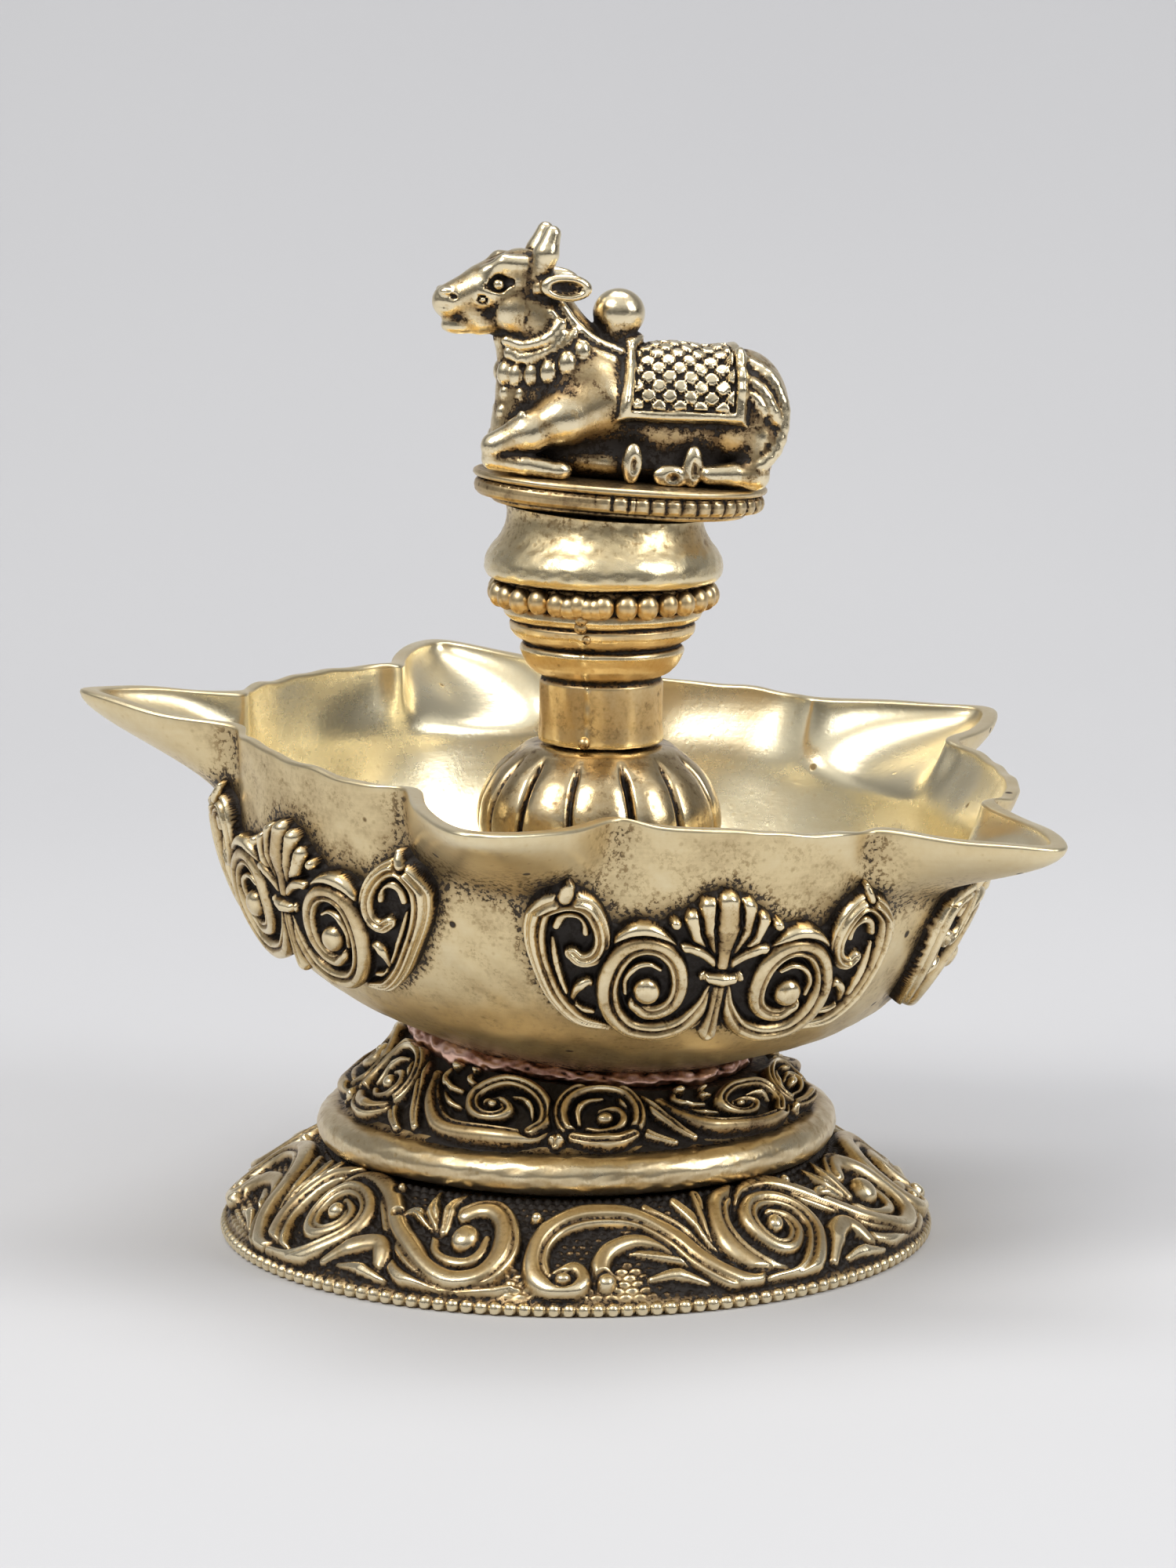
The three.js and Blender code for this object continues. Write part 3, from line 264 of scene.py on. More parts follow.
class Shell:
    """Points and faces of one piece, and at each point how deep it lies down in recesses, from 0 to 1, with
    marks added. This darkens the colour as patina and painted shade.
    """

    def __init__(self):
        self.points, self.faces, self.depth, self.count = [], [], [], 0

    def add(self, points, faces, depth):
        self.points.append(np.asarray(points, float).reshape(-1, 3))
        self.faces.append(faces.reshape(-1, 4) + self.count)
        self.depth.append(np.broadcast_to(np.asarray(depth, float).ravel(), len(self.points[-1])))
        self.count += len(self.points[-1])

    def sheet(self, points, wrap, sigma, scale, keep=None, deeper=0.0):
        """A grid of points, row by row. Its recesses are found by comparing it with itself smoothed."""
        rows, columns = points.shape[:2]
        sigma = tuple(min(s, (n - 2) / 2.6) for s, n in zip(sigma, (rows, columns)))
        soft = blurred(points, sigma, wrap)
        if wrap:
            across = np.roll(soft, -1, 1) - np.roll(soft, 1, 1)
        else:
            across = np.gradient(soft, axis=1)
        normal = np.cross(across, np.gradient(soft, axis=0))
        normal /= np.linalg.norm(normal, axis=-1)[..., None] + 1e-12
        # How dark each point is painted: patina, and painted shade in recesses, plus deeper
        depth = np.clip(0.5 + ((soft - points) * normal).sum(-1) / scale + deeper, 0, 1)
        quads = grid_faces(rows, columns, wrap)
        if keep is not None:
            quads = quads[keep[:-1, :-1] | keep[1:, :-1] | keep[:-1, 1:] | keep[1:, 1:]]
        self.add(points, quads, depth)

    def turn(self, line, columns, step, out=None, wobble=0.0, seed=1, scale=1.2, deeper=0.0, where=LAMP):
        """A turned surface along a line, pushed out by out(azimuth, distance)."""
        line = line if isinstance(line, Line) else Line(line, curved=False)
        rows = max(4, int(line.length / step))
        distance = np.linspace(0, line.length, rows)[:, None]
        azimuth = circle(columns)
        push = wobble * waves(azimuth, distance, seed, 7)
        if out:
            push = push + out(azimuth, distance)
        points = line.skin(azimuth, distance, push)
        cells = RECESS_WIDTH / step, RECESS_WIDTH / (2 * math.pi * line.path[:, 0].max() / columns)
        if callable(deeper):
            deeper = deeper(azimuth, distance)
        self.sheet(placed(points, where), True, cells, scale, deeper=deeper)

    def bead(self, centre, radii, where=LAMP, depth=0.25, sides=16, rows=11):
        around, top = circle(sides), math.pi / 2 - 0.08
        up = np.linspace(-top, top, rows)[:, None]
        ball = polar(around + 0 * up, np.cos(up) * radii[0], np.sin(up) * radii[2])
        ball[..., 1] *= radii[1] / radii[0]
        # Each bead is painted darker towards its bottom: painted shade
        low = (0.5 - 0.5 * np.sin(up) + 0 * around) * 0.3
        self.add(placed(ball + np.asarray(centre), where), grid_faces(rows, sides, True), depth + low)

    def make(self, name, material, nodes):
        points = np.vstack(self.points) / 1000 + AXIS
        faces = np.vstack(self.faces).astype(np.int32)
        mesh = bpy.data.meshes.new(name)
        mesh.vertices.add(len(points))
        mesh.vertices.foreach_set("co", points.astype(np.float32).ravel())
        mesh.loops.add(faces.size)
        mesh.loops.foreach_set("vertex_index", faces.ravel())
        mesh.polygons.add(len(faces))
        mesh.polygons.foreach_set("loop_start", np.arange(0, faces.size, 4, dtype=np.int32))
        mesh.polygons.foreach_set("use_smooth", np.ones(len(faces), bool))
        mesh.update(calc_edges=True)
        mesh.attributes.new("patina_and_painted_light", "FLOAT", "POINT")
        mesh.attributes["patina_and_painted_light"].data.foreach_set("value", np.concatenate(self.depth).astype(np.float32))
        mesh.materials.append(material)
        made = linked(name, mesh)
        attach(made, "root")
        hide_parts(*nodes)


# Finishes

def node(tree, kind, inputs=None, **settings):
    made = tree.nodes.new("ShaderNode" + kind)
    for key, value in settings.items():
        setattr(made, key, value)
    for key, value in (inputs or {}).items():
        if isinstance(value, bpy.types.NodeSocket):
            tree.links.new(value, made.inputs[key])
        else:
            made.inputs[key].default_value = value
    return made


def worked(tree, operation, *values):
    return node(tree, "Math", dict(enumerate(values)), operation=operation).outputs[0]


def sum_of(tree, *terms):
    """Sum of (socket, factor, centre) terms."""
    total = None
    for socket, factor, centre in terms:
        part = worked(tree, "MULTIPLY_ADD", socket, factor, -factor * centre)
        total = part if total is None else worked(tree, "ADD", total, part)
    return total


def ramp(tree, value, stops):
    made = node(tree, "ValToRGB", {"Fac": value})
    points = made.color_ramp.elements
    while len(points) < len(stops):
        points.new(0.5)
    for point, (position, colour) in zip(points, stops):
        point.position = position
        point.color = (*colour, 1)
    return made.outputs["Color"]


def span(tree, value, low, high, to_low, to_high):
    inputs = {"Value": value, "From Min": low, "From Max": high, "To Min": to_low, "To Max": to_high}
    return node(tree, "MapRange", inputs).outputs["Result"]


def noise(tree, place, scale, detail, roughness=0.5):
    inputs = {"Vector": place, "Scale": scale, "Detail": detail, "Roughness": roughness}
    return node(tree, "TexNoise", inputs).outputs["Fac"]


def dots(tree, place, scale, inner, outer):
    """Scattered round dots, 1 inside and 0 outside."""
    spread = node(tree, "TexVoronoi", {"Vector": place, "Scale": scale, "Randomness": 1.0})
    return span(tree, spread.outputs["Distance"], inner, outer, 1.0, 0.0)


def metal(name, tones, rough=(0.24, 0.62), patches=(140, 0.32), grain=(1500, 0.2), pits=0.3, streaks=0.0,
          bump=0.00005, uses_patina_and_painted_light=True, flecks=0.0, holed=False):
    """Metal whose tone runs from worn bright, through its own colour, to the dark of its recesses, which is
    patina and painted shade.
    """
    material = bpy.data.materials.new(name)
    material.use_nodes = True
    tree = material.node_tree
    tree.nodes.clear()
    spot = node(tree, "TexCoord").outputs["Object"]
    broad = noise(tree, spot, patches[0], 5.0, 0.62)
    fine = noise(tree, spot, grain[0], 4.0, 0.6)
    hole = dots(tree, spot, 620.0, 0.08, 0.22)
    terms = [(broad, patches[1], 0.5), (fine, grain[1], 0.5), (hole, pits * 0.35, 0.0)]
    heights = [(fine, 0.7, 0.5), (hole, -pits, 0.0)]
    if uses_patina_and_painted_light:
        # Darker in recesses: patina, and painted shade
        patina_and_painted_light = node(tree, "Attribute", attribute_name="patina_and_painted_light").outputs["Fac"]
        speck = span(tree, noise(tree, spot, 1500.0, 3.0, 0.7), 0.5, 0.6, 0.0, 1.0)
        speck = worked(tree, "MULTIPLY", speck, span(tree, patina_and_painted_light, 0.47, 0.85, 0.0, 1.0))
        terms += [(patina_and_painted_light, 0.95, 0.0), (speck, 1.1, 0.0)]
    if flecks:
        spread = noise(tree, spot, patches[0] * 2.2, 8.0, 0.75)
        terms.append((span(tree, spread, 0.54, 0.66, 0.0, 1.0), flecks, 0.0))
    if holed:
        blow = dots(tree, spot, 150.0, 0.05, 0.085)
        terms.append((blow, 0.55, 0.0))
        heights.append((blow, -1.5, 0.0))
    if streaks:
        parts = node(tree, "SeparateXYZ", {"Vector": spot}).outputs
        turn = worked(tree, "MULTIPLY", worked(tree, "ARCTAN2", parts["X"], parts["Y"]), 2.2)
        rise = worked(tree, "MULTIPLY", parts["Z"], 950.0)
        brush = noise(tree, node(tree, "CombineXYZ", {"X": turn, "Z": rise}).outputs[0], 1.6, 6.0, 0.7)
        terms.append((brush, 0.35 * streaks, 0.5))
        heights.append((brush, streaks, 0.5))
    tone = sum_of(tree, *terms)
    relief = node(tree, "Bump", {"Height": sum_of(tree, *heights), "Distance": bump, "Strength": 0.85})
    inputs = {
        "Base Color": ramp(tree, tone, tones),
        "Metallic": span(tree, tone, 0.72, 1.05, 1.0, 0.25),
        "Roughness": span(tree, tone, 0.15, 0.95, *rough),
        "Normal": relief.outputs["Normal"],
    }
    shader = node(tree, "BsdfPrincipled", inputs)
    output = node(tree, "OutputMaterial")
    tree.links.new(shader.outputs[0], output.inputs["Surface"])
    return material


# Tones of each metal: a share of the way into the dark, and the colour there
CAST_TONES = [(0.14, (0.93, 0.80, 0.54)), (0.40, (0.60, 0.45, 0.24)), (0.58, (0.22, 0.145, 0.075)),
              (0.76, (0.02, 0.014, 0.010))]
WARM_TONES = [(0.12, (0.94, 0.78, 0.48)), (0.46, (0.74, 0.53, 0.26)), (0.66, (0.30, 0.18, 0.08)),
              (0.82, (0.02, 0.014, 0.009))]
SATIN_TONES = [(0.15, (0.93, 0.83, 0.58)), (0.46, (0.79, 0.64, 0.37)), (0.68, (0.42, 0.30, 0.15)),
               (0.9, (0.05, 0.034, 0.02))]
BRAZE_TONES = [(0.15, (0.86, 0.56, 0.44)), (0.38, (0.50, 0.26, 0.19)), (0.56, (0.16, 0.075, 0.05)),
               (0.82, (0.02, 0.012, 0.010))]
PLAQUE_TONES = [(0.08, (0.91, 0.77, 0.50)), (0.32, (0.60, 0.44, 0.22)), (0.50, (0.23, 0.15, 0.075)),
                (0.68, (0.02, 0.014, 0.010))]
STEEL_TONES = [(0.2, (0.75, 0.74, 0.72)), (0.55, (0.45, 0.44, 0.42)), (0.8, (0.18, 0.16, 0.14)),
               (1.0, (0.04, 0.035, 0.03))]

cast_brass = metal("cast_brass", CAST_TONES, flecks=0.12)
figure_brass = metal("figure_brass", CAST_TONES, rough=(0.2, 0.6), patches=(260, 0.36), grain=(2600, 0.2),
                     pits=0.25, flecks=0.38)
warm_brass = metal("warm_brass", WARM_TONES, patches=(210, 0.34), grain=(2000, 0.26), streaks=0.25, flecks=0.14)
bowl_brass = metal("bowl_brass", SATIN_TONES, rough=(0.27, 0.5), patches=(95, 0.42), grain=(1100, 0.16),
                   pits=0.25, streaks=0.35, bump=0.00004, holed=True)
bell_brass = metal("bell_brass", SATIN_TONES, rough=(0.2, 0.46), patches=(240, 0.3), pits=0.4,
                   grain=(1700, 0.2), streaks=0.5)
braze_metal = metal("braze_metal", BRAZE_TONES, rough=(0.3, 0.6), patches=(320, 0.5), grain=(2200, 0.3))
knop_brass = metal("knop_brass", CAST_TONES, rough=(0.15, 0.5), patches=(190, 0.3), flecks=0.2)
steel_metal = metal("steel_metal", STEEL_TONES, uses_patina_and_painted_light=False, streaks=0.4)
plaque_brass = metal("plaque_brass", PLAQUE_TONES, rough=(0.24, 0.6), patches=(230, 0.36), flecks=0.26)
hidden_brass = metal("hidden_brass", WARM_TONES, rough=(0.34, 0.62), patches=(160, 0.5), uses_patina_and_painted_light=False)

# Foot: four repeats of scroll-work over a stamped ground, above a beaded edge
FOOT_MIDDLE = 40  # radius at which places across the scroll-work are measured
FOOT_START = math.radians(-3)
FOOT_REPEATS = [0, 61, 124.5, 188]
FOOT_BEADS, FOOT_BEAD_RADIUS, FOOT_EDGE_RADIUS = 158, 0.8, 44.2
STAMP_LENGTH, STAMP_HEIGHT = 1.5, 0.95
FOOT_BANDS = [  # half width, taper, grooves, and places across and up
    (1.0, (0.3, 1, 1, 0.8), (0,), [(8.4, 8.2), (12.6, 7.4), (17, 6), (21.8, 4.2), (25.7, 2.2)]),
    (0.75, (0.4, 1, 0.6), (0,), [(7.6, 12.2), (10.6, 11.4), (13.4, 9.6)]),
    (0.95, (0.6, 1, 0.5), (0,), [(12.2, 15.4), (14.8, 12.6), (16.8, 9.4), (19.6, 5.4)]),
    (0.95, (0.7, 1, 0.5), (0,), [(16.6, 15.8), (18.4, 12.2), (20, 8.6), (22.4, 5)]),
    (1.0, (0.8, 1, 0.6), (0,), [(20.4, 16.4), (19.9, 13), (20.6, 9), (22.8, 5.2)]),
    (1.55, (0.6, 1, 1, 1, 0.8), (-0.35,),
     [(29.4, 1.9), (25, 3.4), (22.2, 7), (21.8, 11.4), (23.4, 14.8), (26.6, 16.4)]),
    (1.15, (0.9, 1, 0.8, 0.3), (), [(5.6, 4.2), (4.9, 6), (6.1, 8.6), (9.1, 9.8), (12.1, 9.2), (15.2, 6.9)]),
    (0.8, (0.5, 1, 0.5), (), [(10.6, 4.4), (13.6, 4.6), (17, 3.2)]),
    (1.5, (0.7, 0.9, 1, 1, 1, 0.9, 0.8), (-0.4,),
     [(0.4, 5.4), (1.9, 6.2), (2.3, 4.2), (0.3, 3.3), (-1.6, 4.5), (-2.7, 7.2), (-2.2, 10.3), (-0.1, 12.8),
      (3.6, 14.2), (7.9, 14.1), (11.4, 12.8), (14.4, 10.2), (16.6, 7), (18.8, 4.4), (21.6, 2.5), (24.9, 2)]),
    (1.5, (0.7, 1, 1, 1, 1, 1, 0.8), (-0.45,),
     [(26.4, 13.2), (27.6, 15.1), (30.4, 16.3), (34, 15.6), (38, 13.1), (42.5, 8.9), (46, 5.9), (49.2, 3.9),
      (51.8, 3.4), (54.6, 4.4), (56.2, 7), (56.6, 10.2), (55.8, 13.1), (53.6, 14.9), (51.4, 15), (49.6, 13.9)]),
    (0.75, (0.6, 1, 0.9, 0.5), (),
     [(41.1, 6.8), (44.6, 3.6), (48.2, 2), (51.4, 1.6), (54.6, 2.2), (58.4, 3.3)]),
    (0.75, (0.6, 1, 0.7), (), [(46.4, 10.4), (47.6, 7.8), (49.8, 6.5), (52.2, 6.5), (53.6, 8), (54, 10.4)]),
    (0.85, (0.4, 1, 0.7), (0,), [(40.2, 12.2), (42.4, 13.2), (45.2, 12), (47.1, 10.6)]),
    (0.9, (0.3, 1, 0.7), (0,), [(44, 16.8), (44.8, 13.8), (46.8, 11.2)]),
    (0.85, (0.3, 1, 0.7), (0,), [(48.6, 17), (47.2, 14.6), (47.3, 11)]),
    (1.2, (0.5, 1, 1, 0.9, 0.5), (), [(34.2, 3.2), (35.8, 5.2), (38, 6.9), (40.3, 7.4), (41.6, 5.4), (42, 3)]),
    (0.75, (0.5, 1, 0.5), (), [(36.4, 3), (39.4, 3.4), (43.4, 2.5)]),
    (1.15, (0.8, 1, 1, 1, 0.9, 0.8), (0.25,),
     [(24.9, 2), (28.8, 2.3), (32.4, 4.6), (34.9, 8.2), (34.7, 11.6), (32.2, 13.8), (28.8, 14), (26.6, 12.2),
      (26.5, 9.4), (28, 7.2), (30.4, 6.8), (32.3, 8.4), (32.2, 10.6), (30.2, 11.6)]),
]
FOOT_BALLS = [(0.5, 4.6, 1.0), (5.5, 3.8, 1.25), (51, 10.1, 2.1), (29.8, 10.2, 1.35), (60, 13.6, 0.9),
              (37.2, 16, 0.8)]

foot_relief = Relief(0, 2 * math.pi * FOOT_MIDDLE, 0, 18.3, 0.15 / FINE, True)
for shift in FOOT_REPEATS:
    for half, taper, grooves, line in FOOT_BANDS:
        rise = 0.75 + 0.85 * min(half, 1.25)
        foot_relief.strip([(u + shift, v) for u, v in line], 1.24 * half, rise, taper, grooves, 0.35, 0.3)
    for u, v, radius in FOOT_BALLS:
        foot_relief.ball(u + shift, v, radius, 1.5 + 0.25 * radius)
foot_relief.height *= smoothstep(foot_relief.v, 1.7, 2.6)[:, None]

FOOT_LINE = Line([(44.0, 0), (43.9, 1.4), (42.1, 3.1), (37.0, 6.6), (33.0, 9.3), (30.5, 10.6)])
FOOT_UNDERSIDE = [(30.5, 10.55), (24, 10.5), (24, 8.3), (29, 8), (39.6, 1.4), (40.4, 0), (44.0, 0)]


def foot_raised(azimuth, distance):
    u = (azimuth - FOOT_START) * FOOT_MIDDLE + 0.22 * waves(azimuth, distance, 3, 30)
    raised = foot_relief.sample(u, distance + 0.18 * waves(azimuth, distance, 4, 26))
    return raised * (1 + 0.08 * waves(azimuth, distance, 5, 20))


def foot_out(azimuth, distance):
    raised = foot_raised(azimuth, distance)
    row = np.floor(distance / STAMP_HEIGHT)
    shifted = 0.5 * (row % 2) + 0.2 * waves(azimuth, distance, 6, 24)
    across = (azimuth * FOOT_MIDDLE / STAMP_LENGTH + shifted) % 1 - 0.5
    along = distance / STAMP_HEIGHT - row - 0.5
    stamp = np.clip(1 - (across / 0.42) ** 2 - (along / 0.4) ** 2, 0, 1)
    ground = 0.42 * np.sqrt(stamp) * smoothstep(distance, 2.0, 2.8) * np.clip(1 - raised / 0.4, 0, 1)
    pitch = 2 * math.pi / FOOT_BEADS
    beside = np.abs((azimuth / pitch) % 1 - 0.5) * pitch * FOOT_EDGE_RADIUS
    bead = FOOT_BEAD_RADIUS**2 - beside**2 - (distance - FOOT_BEAD_RADIUS) ** 2
    unworn = np.cos(azimuth - math.radians(-25)) + 0.25 * waves(azimuth, 0 * distance, 10, 7)
    return raised + ground + (0.4 + 0.6 * smoothstep(unworn, -0.1, 0.8)) * np.sqrt(np.clip(bead, 0, None))


def foot_dark(azimuth, distance):
    worn = smoothstep(waves(azimuth, distance, 12, 6), 0.2, 1.1) * (1 - smoothstep(distance, 5.5, 8))
    brown = 0.1 * waves(azimuth, distance, 17, 9)
    bare = hill(turn_from(azimuth, math.radians(-75)), 0.17)
    worn = np.maximum(worn, bare * (1 - smoothstep(distance, 4.5, 6.5)))
    # The ground between the scrolls is darker: patina, and painted shade
    low = 1 - smoothstep(foot_raised(azimuth, distance), 0.1, 0.9)
    dark = low * (0.22 + brown - 0.45 * worn) * smoothstep(distance, 1.6, 2.6)
    # Darker towards the top of the foot, next to the ring
    return 0.02 + dark + 0.3 * smoothstep(distance, 14.5, 17)


foot = Shell()
foot.turn(FOOT_LINE, 1100 * FINE, 0.22 / FINE, foot_out, wobble=0.06, seed=11, scale=1.15, deeper=foot_dark)
# The underside is darker: painted shade
foot.turn(FOOT_UNDERSIDE, 180, 0.7, deeper=0.1)
foot.make("foot_casting", cast_brass, ["foot"])

# Pedestal: a torus ring, and a drum with five repeats of scroll-work up to the bowl's slanting base
DRUM_REPEATS, DRUM_MIDDLE, DRUM_START = 5, 26, math.radians(-50)
DRUM_SPAN = 12.3  # height of the scroll-work before it is fitted to the drum
DECK_BORE = 16.5
BRAZE_BOTTOM = -1.75  # in the bowl's frame
DRUM_BANDS = [
    (1.0, (0.7, 1, 0.8, 0.5), (0,), [(-4.6, 12), (-3.9, 9.6), (-3.2, 6.4), (-1.9, 3.4), (0.7, 1.1)]),
    (1.05, (0.5, 1, 0.8, 0.5), (0,), [(-3, 11.6), (-1, 9), (0.9, 6), (2, 3.6), (3.2, 1.8)]),
    (0.95, (0.4, 1, 0.5), (0,), [(0.4, 9.4), (2.6, 7.6), (5, 6.2), (6.4, 4.6)]),
    (1.0, (0.5, 1, 1, 1, 1, 0.8), (0.1,), [(20.4, 1.1), (20.6, 3.2), (20.9, 4.4)]),
    (0.6, (0.6, 1, 0.6), (), [(3.4, 11.2), (2.9, 9.7), (4.4, 8.5), (6.8, 8.4)]),
    (0.5, (0.6, 1, 0.6), (), [(7.6, 11.6), (7.4, 10.2), (9.2, 9.6)]),
    (0.5, (0.6, 1, 0.6), (), [(3.9, 7.8), (5.8, 6.4), (8.2, 6)]),
    (1.35, (0.5, 0.8, 1, 1, 1, 0.7), (0.4,),
     [(1.1, 9.7), (2.6, 6.9), (4.8, 4.3), (6.8, 2.8), (9.9, 2.1), (13.7, 2), (17.2, 2.3), (18.9, 3.2)]),
    (1.0, (0.9, 1, 1, 0.9, 0.8), (0.2,),
     [(17.6, 3.2), (19, 5), (19, 7.6), (17.8, 9.7), (15.8, 10.9), (13.1, 11.1), (10.6, 9.9), (9.2, 8),
      (9.7, 6), (11.4, 4.9), (13.2, 5.2), (14.2, 6.5), (13.2, 7.6), (11.4, 7.2)]),
    (0.5, (0.5, 1, 0.5), (), [(14.4, 8.9), (16, 8.6), (17.1, 7.4), (17.4, 5.8)]),
    (1.0, (0.9, 1, 1, 1, 0.9), (0.15,),
     [(23, 2.4), (21.4, 4.2), (20.8, 6.8), (21.4, 9.4), (23.2, 11.3), (26, 12), (29, 11), (30.4, 8.4),
      (30.3, 5.7), (29.2, 3.4)]),
    (1.3, (0.7, 1, 0.7), (-0.3,), [(22.6, 2.6), (24.6, 1.8), (27, 1.8), (29.2, 3.2)]),
    (0.5, (0.6, 1, 0.6), (), [(23, 5.2), (22.9, 7.6), (24, 9.4), (26, 10)]),
    (0.65, (0.6, 1, 0.8), (), [(24, 4.4), (25.8, 3.8), (27.8, 4.6), (28.4, 6.4), (27.4, 7.8), (25.6, 7.4)]),
]
DRUM_BALLS = [(4.2, 11.6, 0.9), (7.8, 11.7, 0.6), (26, 6.2, 1.2), (12, 7, 0.8)]

drum_relief = Relief(0, 2 * math.pi * DRUM_MIDDLE / DRUM_REPEATS, 0, 13.2, 0.13 / FINE, True)
for half, taper, grooves, line in DRUM_BANDS:
    drum_relief.strip(line, 1.18 * half, 1.2 + 0.65 * half, taper, grooves, 0.4)
for u, v, radius in DRUM_BALLS:
    drum_relief.ball(u, v, radius, 1.7)

DRUM_LINE = Line([(29.6, 15.9), (28.2, 17), (26.2, 18.6), (24, 20.6), (22.2, 22.6), (21.0, 24.4),
                  (20.2, 26)], 0.1)
around = circle(900 * FINE)
deck_normal, deck_level = plane(BOWL, BRAZE_BOTTOM)
walked = np.linspace(6, DRUM_LINE.length, 400)
profile = DRUM_LINE.at(walked)
over = [polar(azimuth, *profile) @ deck_normal - deck_level for azimuth in around[0]]
tops = np.array([np.interp(0, heights, walked) for heights in over])
shares = np.linspace(0, 1, int(62 * FINE))[:, None]
distance = shares * tops
across = (around - DRUM_START) * DRUM_MIDDLE + 0.15 * waves(around, distance, 7, 26)
along = (distance + 0.1 * waves(around, distance, 8, 22)) * DRUM_SPAN / tops
push = drum_relief.sample(across, along) * (1 + 0.07 * waves(around, distance, 9, 18))
# The ground between the scrolls is darker: patina, and painted shade
low = 1 - smoothstep(push, 0.1, 0.9)
drum = DRUM_LINE.skin(around, distance, push * (1 - 0.75 * smoothstep(shares, 0.965, 1.0)))
cells = 0.7 / (11 / len(shares)), 0.7 / (2 * math.pi * DRUM_MIDDLE / around.size)
pedestal = Shell()
pedestal.sheet(drum, True, cells, 1.0, deeper=0.24 + 0.38 * low)

# Its slanting top, from the drum in to the bore
top_rows = [drum[-1]]
for share in np.linspace(0, 1, 7)[1:]:
    flat = polar(around[0], np.hypot(drum[-1, :, 0], drum[-1, :, 1]) * (1 - share) + DECK_BORE * share, 0)
    flat[:, 2] = (deck_level - flat[:, :2] @ deck_normal[:2]) / deck_normal[2]
    top_rows.append(flat)
# The slanting top, beneath the bowl, is darker: painted shade
pedestal.sheet(np.array(top_rows), True, (1, 3), 2.0, deeper=0.2)

RING_RADIUS, RING_LEVEL, RING_WIDTH, RING_HEIGHT = 30, 13.6, 2.45, 2.4
DECK_UNDERSIDE = [(DECK_BORE, 16), (10, 15.9), (2.8, 15.9), (2.8, 24)]
angles = np.radians(np.linspace(-88, 84, 22))
RING_LINE = [(24, 10.9), (28.7, 10.9), (28.7, 11.6)]
RING_LINE += [(RING_RADIUS + RING_WIDTH * math.cos(a), RING_LEVEL + RING_HEIGHT * math.sin(a)) for a in angles]
RING_LINE += [(29.4, 16.1), (28.6, 16.7)]


def ring_out(azimuth, distance):
    return 0.07 * waves(azimuth, distance, 21, 12) + 0.03 * waves(azimuth, distance * 4, 22, 60)


pedestal.turn(RING_LINE, 420 * FINE, 0.22 / FINE, ring_out, wobble=0.05, seed=13, scale=0.9, deeper=-0.06)
# The inner faces are darker: painted shade
pedestal.turn([(17, 15.8), (16.2, 15.4), (16.2, 12), (24, 10.9)], 90, 0.6, deeper=0.2)
pedestal.turn(DECK_UNDERSIDE, 90, 0.8, deeper=0.2)
pedestal.make("pedestal_casting", cast_brass, ["pedestal"])


# Braze between the pedestal and the bowl: a lumpy ring that ran out of the joint
def braze_out(azimuth, distance):
    lumps = 0.16 * waves(azimuth, distance * 2, 31, 34, 30) + 0.08 * waves(azimuth, distance * 4, 32, 90, 30)
    runs = 0.35 * np.maximum(0, waves(azimuth, distance, 33, 26) - 0.5)
    return lumps + runs + 0.5 * hill(turn_from(azimuth, math.radians(-48)), 0.35)


BRAZE_LINE = [(DECK_BORE, BRAZE_BOTTOM), (20.9, BRAZE_BOTTOM), (21.5, -1.5), (21.75, -0.9), (21.4, -0.2),
              (20.8, 0.15), (DECK_BORE, 0)]
braze = Shell()
braze.turn(BRAZE_LINE, 420 * FINE, 0.16, braze_out, scale=0.8, deeper=0.2, where=BOWL)
braze.make("braze_ring", braze_metal, ["braze_collar"])

# Bowl
WALL_SHARES = [(0, 0), (0.112, 0.038), (0.271, 0.089), (0.4, 0.136), (0.516, 0.187), (0.617, 0.252),
               (0.702, 0.327), (0.783, 0.423), (0.856, 0.542), (0.913, 0.678), (0.94, 0.77), (0.963, 0.85),
               (0.982, 0.925), (1, 1)]
BASE_RADIUS, RIM_RADIUS, DEPTH, WALL, FLOOR = 20.9, 48.6, 36.0, 1.5, 2.2
RIM_SWELL, SWELL_AZIMUTH = 2.2, math.radians(108)
SPOUT_REACH, SPOUT_DEPTH, SPOUT_HALF_ANGLE, SPOUT_LIFT = 15.4, 10.6, 15.5, 0.9
CHANNEL_DEPTH, CHANNEL_HALF_ANGLE, SPOUT_LIP = 8.5, 13.8, 2.3
NOTCH_DIP, NOTCH_LIFT = 1.3, 0.45
WALL_LINE = Line([(BASE_RADIUS + (RIM_RADIUS - BASE_RADIUS) * out, DEPTH * up) for out, up in WALL_SHARES], 0.4)
SPOUT_PITCH = 2 * math.pi / 5
SPOUT_SHARES = [(0, 1, 0), (-0.02, 0.94, -0.2), (0.03, 1.06, 1), (0, 0.99, 0.4), (-0.012, 1.09, 1.6)]
SPOUT_FIRST = math.radians(-14.6)
SPOUTS = [(SPOUT_FIRST + (i + turn) * SPOUT_PITCH, reach * SPOUT_REACH, lift * SPOUT_LIFT)
          for i, (turn, reach, lift) in enumerate(SPOUT_SHARES)]
PINCH_STEP = 0.25
PINCH_OFF = np.arange(0, 60, PINCH_STEP)  # degrees off a spout's middle


